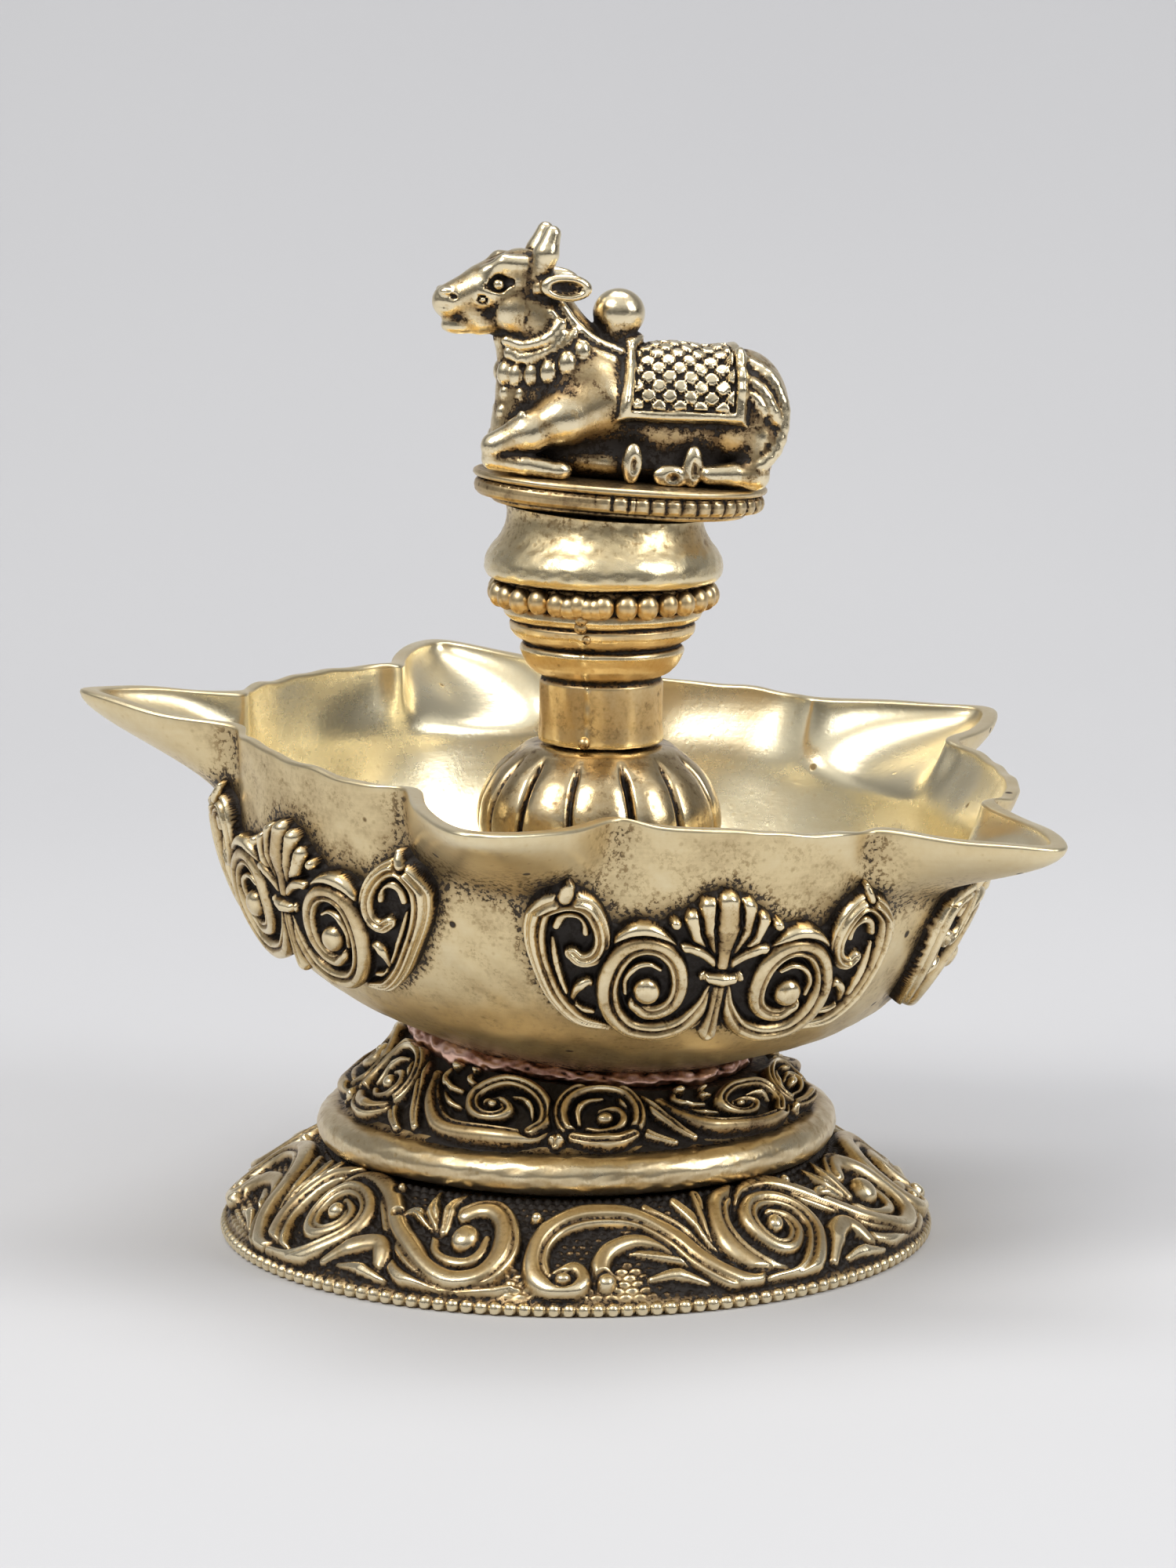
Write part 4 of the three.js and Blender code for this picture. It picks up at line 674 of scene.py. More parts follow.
def pinch(azimuth, spout, half):
    """A spout's share of its reach, and of the notches beside it, with their creases a little rounded."""
    off = np.abs(PINCH_OFF) / half
    share = np.maximum(0, (1 - np.hypot(off, 0.1)) / 0.9)
    notch = np.cos(math.pi / 2 * np.clip(2.6 * np.abs(off - 1), 0, 1)) ** 2
    both = np.stack([share, notch], -1)
    both = blurred(np.vstack([both[:0:-1], both]), (1.3 / PINCH_STEP, 0.01))[len(PINCH_OFF) - 1 :]
    both[:, 0] /= both[0, 0]
    away = np.degrees(np.abs(turn_from(azimuth, spout)))
    return np.interp(away, PINCH_OFF, both[:, 0]), np.interp(away, PINCH_OFF, both[:, 1])


def rim_push(azimuth, height, depth, half, shorter):
    """How far the swell, spouts and notches push the wall out and up. It fades out at a depth below the rim."""
    out, up = RIM_SWELL * np.maximum(0, np.cos(azimuth - SWELL_AZIMUTH)), 0
    for spout, reach, raised in SPOUTS:
        share, notch = pinch(azimuth, spout, half)
        out = out + share * (reach - shorter) - notch * NOTCH_DIP
        up = up + share * raised + notch * NOTCH_LIFT
    hold = 1 - smoothstep(DEPTH - height, 0, depth)
    return out * hold, up * hold


def bowl_outside(azimuth, distance):
    r, z = WALL_LINE.at(distance)
    out, up = rim_push(azimuth, z, SPOUT_DEPTH, SPOUT_HALF_ANGLE, 0)
    return polar(azimuth, r + out, z + up)


def bowl_inside(azimuth, distance):
    r, z = WALL_LINE.at(distance)
    out_r, out_z = WALL_LINE.out(distance)
    lean = smoothstep(DEPTH - z, 0, CHANNEL_DEPTH)
    out, up = rim_push(azimuth, z, CHANNEL_DEPTH, CHANNEL_HALF_ANGLE, SPOUT_LIP - WALL)
    return polar(azimuth, r - WALL * (1 - lean + lean * out_r) + out, z - WALL * out_z * lean + up)


PLAQUE_AZIMUTHS = [SPOUT_FIRST - math.radians(2) + (i + 0.5) * SPOUT_PITCH for i in range(5)]
PLAQUE_RADIUS = float(WALL_LINE.at(33.5)[0])  # of the wall, half-way up a plaque

around = circle(600 * FINE)
up = np.linspace(0, WALL_LINE.length, int(72 * FINE))[:, None]
down = up[::-1][: int(62 * FINE)]
outside = bowl_outside(around + 0 * up, up)
inside = bowl_inside(around + 0 * down, down)
uneven = 0.2 * waves(around, up, 41, 16) + 0.07 * waves(around, up, 42, 60)
outside = outside + polar(around, 1, 0) * uneven[..., None]
inside = inside + polar(around, 1, 0) * (0.15 * waves(around, down, 43, 24))[..., None]
middle, reach = (outside[-1] + inside[0]) / 2, (outside[-1] - inside[0]) / 2
lip = []
for t in np.linspace(0, math.pi, 15)[1:-1]:
    out = math.copysign(abs(math.cos(t)) ** 0.6, math.cos(t))
    lip.append(middle + out * reach + np.array([0, 0, 1]) * math.sin(t) ** 0.6 * 0.5)
rows = [*outside, *lip, *inside]
floor = inside[-1]
for share in np.linspace(0.12, 1, 16):
    radius = np.hypot(floor[:, 0], floor[:, 1]) * (1 - share) + 3 * share
    settled = min(1, 3 * share)
    rows.append(polar(around[0], radius, floor[:, 2] * (1 - settled) + FLOOR * settled))
rows = np.array(rows)
hammered = 0.28 * waves(around, 0, 44, 12) + 0.13 * waves(around, 0, 45, 48)
rows[..., 2] += hammered * smoothstep(rows[..., 2], 22, DEPTH)

# Plaques: half of the scroll-work, in millimetres across from the stem and along the wall
PLAQUE_BANDS = [
    (0.85, (0.5, 1, 0.9, 0.4), (), [(15.6, 26.4), (17.6, 27.2), (19, 29.4), (19.6, 32.4), (19.8, 36.2)]),
    (0.7, (0.6, 1, 0.6), (), [(18.1, 28.1), (17.3, 30), (16, 31), (15, 30)]),
    (0.7, (0.8, 1, 0.7), (), [(19.3, 37.8), (18.5, 39.3), (17.2, 39.7), (16.2, 38.8), (16.2, 37.2)]),
    (1.5, (0.35, 0.6, 1, 0.9), (), [(0.6, 34.4), (2.1, 37.4), (3.5, 40.2)]),
    (1.5, (0.3, 0.6, 1, 0.9), (), [(0.3, 33.6), (1.0, 37.6), (1.9, 41.9)]),
    (0.8, (0.7, 1, 0.8), (), [(0.8, 34.4), (2.4, 35.9), (3.9, 36.6), (5, 36.3), (5.3, 35.2)]),
    (1.05, (0.5, 0.9, 1.1, 0.9, 0.4), (0.5,),
     [(13.7, 34.4), (12.4, 36.6), (10.6, 38), (8.5, 38.3), (6.6, 37.4), (5.2, 35.8)]),
    (0.8, (0.8, 1, 0.6), (), [(0.7, 30.9), (1.2, 27.9), (2.6, 24.9), (5, 23.6)]),
    (1.2, (0.5, 0.9, 1, 1, 1.15, 1.15, 1, 0.9, 0.85), (-0.5, 0.25),
     [(13.6, 23.9), (17.2, 25.2), (19.8, 28.4), (21.2, 32.8), (21.6, 36.2), (21.1, 39), (19.8, 40.9),
      (18.1, 41.7), (16.4, 41.2), (15.1, 39.7), (14.4, 37.6), (14.5, 35.7), (15.4, 34.3),
      (16.8, 33.8), (17.7, 34.5)]),
    (0.8, (1, 0.9, 0.6), (), [(18.2, 42.3), (17.9, 43), (17.6, 43.7)]),
    (1.55, (0.45, 0.8, 1, 1, 1, 0.95, 0.85, 0.8, 0.75, 0.8), (0.28,),
     [(0.9, 31), (1.6, 28.4), (3.4, 25.6), (5.6, 24.3), (8.3, 23.9), (11.2, 24.6), (13.2, 27), (13.8, 30.2),
      (13, 33.4), (11.4, 35.6), (9.2, 36.5), (7, 36), (5.4, 34.2), (4.8, 31.4), (5.3, 28.8), (6.8, 27.3),
      (8.8, 27), (10.2, 28.2)]),
    (0.5, (0.8, 1, 0.7), (), [(11.6, 29.8), (11.6, 31.8), (10.4, 33.5), (8.7, 34), (7.3, 33.3)]),
]
PLAQUE_BALLS = [(8.9, 30.2, 1.9), (5.7, 39.6, 0.75), (1.9, 32.7, 0.8)]
PLAQUE_SHEARS = [(-0.1, -0.4), (0.1, -2.2), (-0.08, -0.3), (0.12, 0.2), (0.22, -1.5)]  # lean and shift
PLAQUE_KNOT, PLAQUE_DROP = 32.2, 1.3  # height that a plaque leans about, and how far it sits below its drawing

plaque_relief = Relief(-28, 56, 21.4, 47.6, 0.14 / FINE, False)
for hand in (-1, 1):
    for half, taper, grooves, line in PLAQUE_BANDS:
        rise = 1.5 + 0.85 * min(half, 1.25)
        places = [(hand * u, v) for u, v in line]
        plaque_relief.strip(places, half, rise, taper, [hand * place for place in grooves], 0.3)
    for u, v, radius in PLAQUE_BALLS:
        plaque_relief.ball(hand * u, v, radius, 1.9 + 0.4 * radius)
plaque_relief.strip([(0, 31.4), (0, 27.8), (0, 23.9)], 1.2, 2.2, (0.7, 0.8, 1.1), (0,), 0.3)
plaque_relief.strip([(0, 33), (0, 37.4), (0, 42.6)], 1.5, 2.7, (0.45, 0.6, 1, 0.9), (), 0.2)
plaque_relief.strip([(-1.3, 32.6), (1.3, 32.6)], 0.9, 2.7, (0.8, 1, 0.8))

# The plate under the bands: their own outline, closed up, with everything inside it
step = plaque_relief.step
band = plaque_relief.height > 0.15
closing = (0.35 / step, 0.35 / step)
solid = blurred((blurred(band.astype(float), closing) > 0.04).astype(float), closing) > 0.93
solid |= band
outside_it = np.zeros_like(solid)
outside_it[0] = outside_it[-1] = outside_it[:, 0] = outside_it[:, -1] = True
before = 0
while outside_it.sum() > before:
    before = outside_it.sum()
    for axis, by in ((0, 1), (0, -1), (1, 1), (1, -1)):
        outside_it |= np.roll(outside_it, by, axis) & ~solid
plate = blurred((~outside_it).astype(float), (1.3, 1.3))
halo = blurred(plate, (1.15 / step, 1.15 / step))


def drawn_at(u, v, number):
    """The place in the drawing that a plaque shows at a place on the wall."""
    lean, shift = PLAQUE_SHEARS[number]
    return u - lean * (v - PLAQUE_KNOT) - shift, v + PLAQUE_DROP + 0 * u


# Old grime round the plaques, darker at the bowl's base, lighter on the rim, and inside a painted highlight:
# lighter all over, darker towards the floor
rim_row, inside_row = len(outside), len(outside) + len(lip)
tarnish_and_painted_light = np.zeros(rows.shape[:2])
for number, place in enumerate(PLAQUE_AZIMUTHS):
    off = turn_from(around, place) * PLAQUE_RADIUS
    tarnish_and_painted_light[:rim_row] += 0.6 * plaque_relief.sample(*drawn_at(off, up, number), halo)
# Darker at the bowl's base
tarnish_and_painted_light[:rim_row] += 0.22 * hill(up, 3.0)
# Lighter on the rim
tarnish_and_painted_light[rim_row:inside_row] -= 0.1
# Inside: lighter all over, a painted highlight, and darker towards the floor
tarnish_and_painted_light[inside_row:] += 0.2 * smoothstep(-rows[inside_row:, :, 2], -12, -2) - 0.34
bowl = Shell()
bowl.sheet(placed(rows, BOWL), True, (2.1, 2.0), 2.4, deeper=tarnish_and_painted_light)
bowl.make("bowl_casting", bowl_brass, ["bowl"])

u, v = np.meshgrid(plaque_relief.u, plaque_relief.v)
for number, place in enumerate(PLAQUE_AZIMUTHS):
    bent_u, bent_v = drawn_at(u, v, number)
    bent_u = bent_u + 0.16 * waves(u / 25, v, 50 + number, 9)
    bent_v = bent_v + 0.12 * waves(u / 25, v, 60 + number, 9)
    height = plaque_relief.sample(bent_u, bent_v) * (1 + 0.07 * waves(u / 25, v, 70 + number, 8))
    there = plaque_relief.sample(bent_u, bent_v, plate)
    lifted = -0.8 + smoothstep(there, 0.3, 0.7) * (1.3 + 0.75 * height)
    azimuth = place + u / PLAQUE_RADIUS
    here = bowl_outside(azimuth, v)
    normal = np.cross(bowl_outside(azimuth + 0.004, v) - here, bowl_outside(azimuth, v + 0.1) - here)
    normal /= np.linalg.norm(normal, axis=-1)[..., None]
    plaque = Shell()
    points = placed(here + normal * lifted[..., None], BOWL)
    # The plate between the bands is darker: patina, and painted shade
    low = 0.65 * (1 - smoothstep(height, 0.3, 1.2))
    plaque.sheet(points, False, (0.8 / step, 0.8 / step), 1.15, there > 0.25, low - 0.02)
    name = "plaque_casting_%d" % (number + 1)
    plaque.make(name, plaque_brass, ["bowl_plaque_%d" % (number + 1)])

# Melon knop: lobes parted by chased grooves of uneven depth
KNOP_LINE = Line([(2.8, 42.5), (8, 42.3), (9.6, 43.4), (11.4, 44.8), (13.5, 47), (15.0, 50), (15.25, 52),
                  (14.8, 54.5), (13.7, 56.8), (12.4, 58.5), (10.2, 60.2), (8.4, 61.1), (2.8, 61.3)], 0.25)
KNOP_GROOVES = [(-63, 0.5), (-42, 1), (-14, 0.65), (15, 1.15), (43, 0.7), (73, 0.85), (103, 1), (133, 0.9),
                (163, 1), (193, 0.9), (223, 1), (250, 0.85), (274, 0.9)]  # degrees and strength


def knop_out(azimuth, distance):
    r, z = KNOP_LINE.at(distance)
    total = 0
    for turn, strength in KNOP_GROOVES:
        place = math.radians(turn) + 0.02 * np.sin(z / 3 + turn)
        off = turn_from(azimuth, place) * r
        total = total + strength * (0.95 * hill(off, 0.42) + 0.45 * hill(off, 1.5))
    hold = smoothstep(z, 43.5, 46.5) * (1 - smoothstep(z, 58.3, 60.6))
    return -total * hold + 0.06 * waves(azimuth, distance, 81, 14)


knop = Shell()
knop.turn(KNOP_LINE, 560 * FINE, 0.24 / FINE, knop_out, wobble=0.05, seed=15, scale=1.0, deeper=-0.04,
          where=COLUMN)
knop.make("knop_casting", knop_brass, ["melon_knop"])

# Neck, cup and ring of beads, with a mould seam down the front
SEAM_DEGREES, SEAM_RADIUS = -13, 9
SEAM = math.radians(SEAM_DEGREES)
NECK_BEADS, BEAD_RADIUS, BEAD_RING_RADIUS, BEAD_LEVEL = 29, 1.34, 13.1, 79.95
SEAM_BLOBS = [(0, 11.9, 77.2, 0.9), (3, 11.3, 75.6, 0.6), (-2, 7.9, 62.3, 0.8), (1, 12.8, 78.2, 0.8)]
NECK_LINE = Line([(2.8, 61.55), (7.7, 61.5), (7.75, 62.2), (7.62, 64), (7.62, 69.1), (7.3, 69.35),
                  (7.35, 69.7), (8.5, 70.3), (9.3, 71.1), (9.75, 71.9), (10.2, 73.0), (10.05, 73.5),
                  (9.5, 73.75), (9.9, 74.1), (10.7, 74.6), (11.4, 75.4), (11.5, 76.3), (11.1, 76.7),
                  (11.9, 77.0), (12.3, 77.6), (12.2, 78.3), (12.0, 78.8), (12.2, 79.9), (12.4, 81.2),
                  (12.2, 81.6), (2.8, 81.6)], 0.14, curved=False)


def neck_out(azimuth, distance):
    seam = 0.22 * hill(turn_from(azimuth, SEAM) * SEAM_RADIUS, 0.35) * (0.6 + 0.4 * np.sin(distance * 2.2))
    return seam + 0.05 * waves(azimuth, distance * 2, 82, 18)


# The cup is darker from just below the ring of beads to its top, behind the beads and beneath the bell: painted
# shade
def neck_painted_shade(azimuth, distance):
    return 0.55 * smoothstep(NECK_LINE.at(distance)[1], 78.2, 79.0) - 0.02


neck = Shell()
neck.turn(NECK_LINE, 300 * FINE, 0.15 / FINE, neck_out, wobble=0.04, seed=16, scale=0.75, deeper=neck_painted_shade,
          where=COLUMN)
rng = np.random.default_rng(5)
for bead in range(NECK_BEADS):
    azimuth = SEAM + 2 * math.pi * bead / NECK_BEADS + rng.normal(0, 0.008)
    size = BEAD_RADIUS * (1 + rng.normal(0, 0.03))
    centre = polar(azimuth, BEAD_RING_RADIUS + rng.normal(0, 0.06), BEAD_LEVEL + rng.normal(0, 0.08))
    neck.bead(centre, (size, size, size * 1.16), COLUMN)
for offset in (-0.09, 0.09, 0.16):
    neck.bead(polar(SEAM + offset, 13.15, 79.7), (1.3, 1.2, 1.4), COLUMN, 0.2)
for turn, radius, level, size in SEAM_BLOBS:
    centre = polar(math.radians(SEAM_DEGREES + turn), radius, level)
    neck.bead(centre, (size, size, size), COLUMN, 0.35, sides=10, rows=7)
neck.make("neck_cup", warm_brass, ["neck_casting"])

# Bell capital, cut to the plinth's slant
BELL_LINE = Line([(2.8, 81.8), (12.6, 81.8), (13.7, 81.85), (14.3, 82.1), (14.7, 82.8), (14.72, 83.6),
                  (14.55, 84.5), (14.0, 85.5), (13.2, 86.5), (12.55, 87.6), (12.15, 88.8), (12.05, 90),
                  (12.3, 91.2), (12.7, 92.2)], 0.12)
BELL_TOP = -4.15  # in the figure's frame
bell_normal, bell_level = plane(FIGURE, BELL_TOP)
around = circle(360 * FINE)
up = np.linspace(0, BELL_LINE.length, int(170 * FINE))[:, None]
push = 0.05 * waves(around, up, 83, 14) + 0.02 * waves(around, up * 6, 84, 40)
points = placed(BELL_LINE.skin(around, up, push), COLUMN)
excess = np.maximum(0, points @ bell_normal - bell_level)
points = points - excess[..., None] * bell_normal
# The bell's underside is painted darker: painted shade
under = 0.5 * (1 - smoothstep(BELL_LINE.at(up)[1], 81.8, 82.3)) - 0.02 + 0 * around
bell = Shell()
bell.sheet(points, True, (0.7 / (BELL_LINE.length / len(up)), 3), 0.9, deeper=under)
bell.make("bell_casting", bell_brass, ["bell_capital"])

# Plinth: an oval plate with a gadrooned edge on its right half, over a ledge
PLINTH_HALF_LENGTH, PLINTH_HALF_WIDTH, RIB_PITCH = 18.2, 12.5, 2.1
PLINTH_ROWS = [  # half length, half width, level and share of the ribs
    (9, 7, -4.0, 0), (14.6, 10.2, -4.0, 0), (15.5, 10.8, -3.9, 0), (15.8, 11, -3.6, 0), (15.9, 11, -3.35, 0),
    (16.7, 11.3, -3.25, 0.2), (17.5, 12, -3.1, 0.7), (17.9, 12.3, -2.7, 1), (18.05, 12.4, -2.1, 1),
    (17.95, 12.3, -1.55, 1), (17.6, 12, -1.15, 0.8), (17.35, 11.8, -1.0, 0), (18.0, 12.3, -0.9, 0),
    (18.25, 12.55, -0.6, 0), (18.2, 12.5, -0.25, 0), (17.9, 12.2, -0.05, 0), (17.2, 11.6, 0.02, 0),
    (16.6, 11, 0, 0), (12, 8, 0, 0), (5, 3, 0, 0), (0.1, 0.1, 0, 0),
]
turn = circle(660 * FINE)[0]
arc = np.hypot(PLINTH_HALF_LENGTH * np.cos(turn), PLINTH_HALF_WIDTH * np.sin(turn)) * 2 * math.pi / len(turn)
ribs = 1 - np.abs(np.sin(math.pi * np.cumsum(arc) / RIB_PITCH)) ** 0.33
ribs *= smoothstep(np.sin(turn), -0.34, -0.12)
table = np.array(PLINTH_ROWS)
ends = np.concatenate([[0], np.cumsum(np.hypot(np.diff(table[:, 0]), np.diff(table[:, 2])) + 1e-6)])
along = np.unique(np.concatenate([np.arange(0, ends[-1], 0.45), np.arange(ends[1], ends[17], 0.13 / FINE)]))
rows = []
for place in along:
    half_x, half_y, level, share = (np.interp(place, ends, column) for column in table.T)
    rib = 0.75 * share * ribs
    push = 0.1 * share * waves(turn, 0, 90, 9) - rib
    x, y = half_x + push, half_y + push
    rows.append(np.stack([x * np.sin(turn), -y * np.cos(turn), level - 0.25 * rib + 0 * turn], -1))
plinth = Shell()
plinth.sheet(placed(np.array(rows), FIGURE), True, (4, 4), 0.8, deeper=0.02)
plinth.make("plinth_casting", cast_brass, ["figure_plinth"])


# Seated bull: a solid of blended lumps and tubes, given by the distance to its skin
class Solid:
    def __init__(self, low, high, cell):
        self.low, self.cell = np.array(low, float), cell
        self.axes = [np.arange(a, b, cell) for a, b in zip(low, high)]
        self.field = np.full([len(axis) for axis in self.axes], 6.0)

    def part(self, low, high):
        spans = [slice(max(0, np.searchsorted(axis, a)), max(0, np.searchsorted(axis, b)))
                 for axis, a, b in zip(self.axes, low, high)]
        x, y, z = (axis[cut] for axis, cut in zip(self.axes, spans))
        return tuple(spans), x[:, None, None], y[None, :, None], z[None, None, :]

    def merge(self, spans, distance, blend, carve):
        old = self.field[spans]
        if not old.size:
            return
        first, second = (-old, distance) if carve else (old, distance)
        soft = np.maximum(blend - np.abs(first - second), 0) / blend
        new = np.minimum(first, second) - soft * soft * blend / 4
        self.field[spans] = -new if carve else new

    def lump(self, centre, radii, blend=0.8, carve=False):
        centre, radii = np.array(centre, float), np.array(radii, float)
        spans, x, y, z = self.part(centre - radii - blend - 1, centre + radii + blend + 1)
        a, b, c = (x - centre[0]) / radii[0], (y - centre[1]) / radii[1], (z - centre[2]) / radii[2]
        size = np.sqrt(a * a + b * b + c * c) + 1e-9
        slope = np.sqrt((a / radii[0]) ** 2 + (b / radii[1]) ** 2 + (c / radii[2]) ** 2) + 1e-9
        self.merge(spans, size * (size - 1) / slope, blend, carve)

    def tube(self, places, blend=0.5, carve=False):
        for start, end in zip(places, places[1:]):
            a, b = np.array(start[:3], float), np.array(end[:3], float)
            margin = max(start[3], end[3]) + blend + 1
            spans, x, y, z = self.part(np.minimum(a, b) - margin, np.maximum(a, b) + margin)
            way = b - a
            along = (x - a[0]) * way[0] + (y - a[1]) * way[1] + (z - a[2]) * way[2]
            t = np.clip(along / (way @ way), 0, 1)
            aside = (value - a[k] - t * way[k] for k, value in enumerate((x, y, z)))
            off = np.sqrt(sum(part**2 for part in aside))
            self.merge(spans, off - (start[3] + (end[3] - start[3]) * t), blend, carve)

    def side(self, x, z, hand):
        """The skin's place at height z on the side of hand, at x or the nearest x behind it that has one."""
        i, k = (int(round((value - self.low[axis]) / self.cell)) for axis, value in ((0, x), (2, z)))
        while not (self.field[i, :, k] < 0).any():
            i += 1
        inside = np.nonzero(self.field[i, :, k] < 0)[0]
        return self.axes[0][i], self.axes[1][inside[0] if hand < 0 else inside[-1]]


bull = Solid((-26.4, -10.2, -0.6), (22.2, 10.2, 31.6), 0.25 / FINE)

# Haunch, belly, chest and underside, then neck, dewlap, hump and head
bull.lump((14.0, 0, 8.7), (6.1, 7.7, 7.9), 2)
bull.lump((5.7, 0, 8.2), (12, 7.2, 7.9), 2)
bull.lump((-6.2, 0, 8.0), (8.4, 6.7, 7.8), 2.5)
bull.lump((2, 0, 2.2), (16.5, 6.4, 2.8), 1.5)
bull.tube([(-5.5, 0, 10, 6.2), (-8.6, 0, 14.4, 5.0), (-11.4, 0, 18.6, 4.1), (-12.8, 0, 22, 3.6)], 1.6)
dewlap = [(-15.4, 0, 16.0, 1.7), (-13.9, 0, 13.4, 2.1), (-13.4, 0, 10, 2.6), (-13.2, 0, 6, 3.0),
          (-13.4, 0, 2.5, 3.2)]
bull.tube(dewlap, 1.4)
bull.tube([(-2.3, 0, 14, 3.4), (-2.2, 0, 17.4, 2.2), (-1.9, 0, 19.5, 2.4)], 1.0)
bull.lump((-1.9, 0, 20.0), (3.2, 3.0, 3.0), 0.5)
bull.tube([(-14.4, 0, 23.4, 3.65), (-18.4, 0, 21.9, 3.0), (-22.8, 0, 20.05, 2.15)], 0.8)
bull.tube([(-15.4, 0, 18.9, 2.5), (-19.0, 0, 18.0, 1.75), (-22.3, 0, 17.75, 1.2)], 0.5)
bull.lump((-21.6, 0, 17.0), (2.0, 1.4, 0.9), 0.5)
bull.lump((-20.0, 0, 19.0), (2.4, 2.1, 1.9), 0.6)


def handed(places, hand, back=0):
    return [(x + back, -hand * y, z, radius) for x, y, z, radius in places]


for hand, back in ((-1, 0), (1, 2.4)):
    # Shoulder, haunch and cheek
    bull.lump((-5.4, hand * 3.6, 10.6), (5.0, 3.4, 5.2), 1.6)
    bull.lump((14.3, hand * 5.0, 8.9), (4.6, 3.0, 6.0), 0.9)
    bull.lump((-14.3, hand * 2.1, 19.6), (3.2, 1.9, 2.8), 0.8)

    # Foreleg, hind foot, and the small forms between them
    foreleg = [(-3.6, -4.6, 9.4, 3.6), (-8.6, -5.6, 7.2, 3.0), (-12.9, -6.0, 5.2, 2.3),
               (-16.7, -5.7, 3.4, 1.75)]
    bull.tube(handed(foreleg, hand, back), 1.2)
    shin = [(-16.8, -5.6, 1.9, 1.45), (-13, -6.8, 1.5, 1.35), (-10.4, -7.2, 1.2, 1.2)]
    bull.tube(handed(shin, hand, back), 0.35)
    bull.lump((-9 + back, hand * 7.3, 1.1), (1.7, 1.3, 1.2), 0.2)
    bull.tube(handed([(15.3, -6.6, 1.9, 1.9), (12.6, -7.1, 1.9, 1.45), (9.6, -7.3, 1.7, 1.25)], hand), 0.4)
    bull.tube(handed([(15.8, -6, 6.2, 2.2), (15.2, -6.5, 3.4, 1.7)], hand), 0.8)
    for x, z, half, tall in ((0.0, 2.5, 1.3, 2.6), (7.5, 2.5, 1.3, 2.7), (4.9, 1.2, 2.3, 1.5)):
        bull.lump((x, hand * 7.1, z), (half, 1.0, tall), 0.25)
        bull.lump((x + 0.2, hand * 8.1, z - 0.2), (0.42 * half, 0.45, 0.5 * tall), 0.2, True)

    # Brow, horn and ear
    bull.tube(handed([(-18.8, -2.0, 24.2, 0.6), (-16.8, -2.5, 25.3, 0.9), (-14.4, -2.8, 25.4, 0.9)], hand), 1.0)
    horn = [(-12.7, -2.4, 24.2, 1.75), (-11.9, -3.0, 26.8, 1.55), (-11.3, -2.9, 29.2, 1.05)]
    bull.tube(handed(horn, hand), 0.35)
    bull.tube(handed([(-12.6, -3.3, 22.7, 1.0), (-11.0, -4.2, 23.0, 1.15)], hand), 0.4)
    bull.lump((-9.4, hand * 4.9, 23.0), (3.2, 1.0, 1.7), 0.3)
    bull.lump((-9.4, hand * 5.7, 22.9), (2.3, 0.85, 0.95), 0.2, True)

    # Mouth and nostril
    mouth = [(-26, -0.2, 19.7, 0.36), (-24.2, -1.8, 19.45, 0.34), (-22.2, -2.6, 19.5, 0.25)]
    bull.tube(handed(mouth, hand), 0.15, True)
    bull.lump((-23.3, hand * 1.5, 21.3), (1.1, 0.8, 0.55), 0.3)
    bull.lump((-22.7, hand * 2.3, 20.8), (0.6, 0.6, 0.4), 0.15, True)

    # Eye, the dot below it, and a crease
    eye_x, eye_y = bull.side(-17.3, 22.7, hand)
    eyelids = [(eye_x - 1.6, eye_y, 22.3, 0.4), (eye_x, eye_y, 22.8, 1.15), (eye_x + 1.5, eye_y, 23.1, 0.45)]
    bull.tube(eyelids, 0.2, True)
    bull.lump((eye_x, eye_y - hand * 0.3, 22.7), (0.72, 0.7, 0.68), 0.1)
    dot_x, dot_y = bull.side(-19.1, 20.7, hand)
    bull.lump((dot_x, dot_y, 20.7), (0.7, 0.4, 0.65), 0.1, True)
    bull.lump((dot_x, dot_y, 20.7), (0.36, 0.45, 0.36), 0.1)
    crease = [(-14.6, -4.0, 21.8, 0.25), (-13.6, -4.3, 19.8, 0.25), (-14.2, -4.0, 17.6, 0.25)]
    bull.tube(handed(crease, hand), 0.2, True)


def laid(places, radius, hand, depth=0.35):
    """Places given by (x, z), set on the skin."""
    path = [(*bull.side(x, z, hand), z) for x, z in spline(places, 1.0)]
    sides = np.convolve(np.pad([y for x, y, z in path], 2, mode="edge"), np.ones(5) / 5, "valid")
    return [(x, y - hand * depth * radius, z, radius) for (x, _, z), y in zip(path, sides)]


# Tail, which lies along the near haunch in three strands
TAIL = [
    (0.95, [(13.0, 15.4), (16, 13.9), (17.8, 11), (18.2, 8), (17.4, 5.2), (15.9, 3.4)]),
    (0.8, [(13.2, 13.6), (15.0, 12.4), (16.4, 10.6), (17.0, 9)]),
    (0.6, [(13.2, 12.2), (14.6, 11.2), (15.6, 9.8)]),
]
for radius, line in TAIL:
    bull.tube(laid(line, radius, -1, 0.1), 0.3)
parting = laid([(16.5, 8.6), (16.5, 6.8), (15.9, 5)], 0.5, -1, 0)
bull.tube([(x, y - 0.6, z, radius) for x, y, z, radius in parting], 0.2, True)

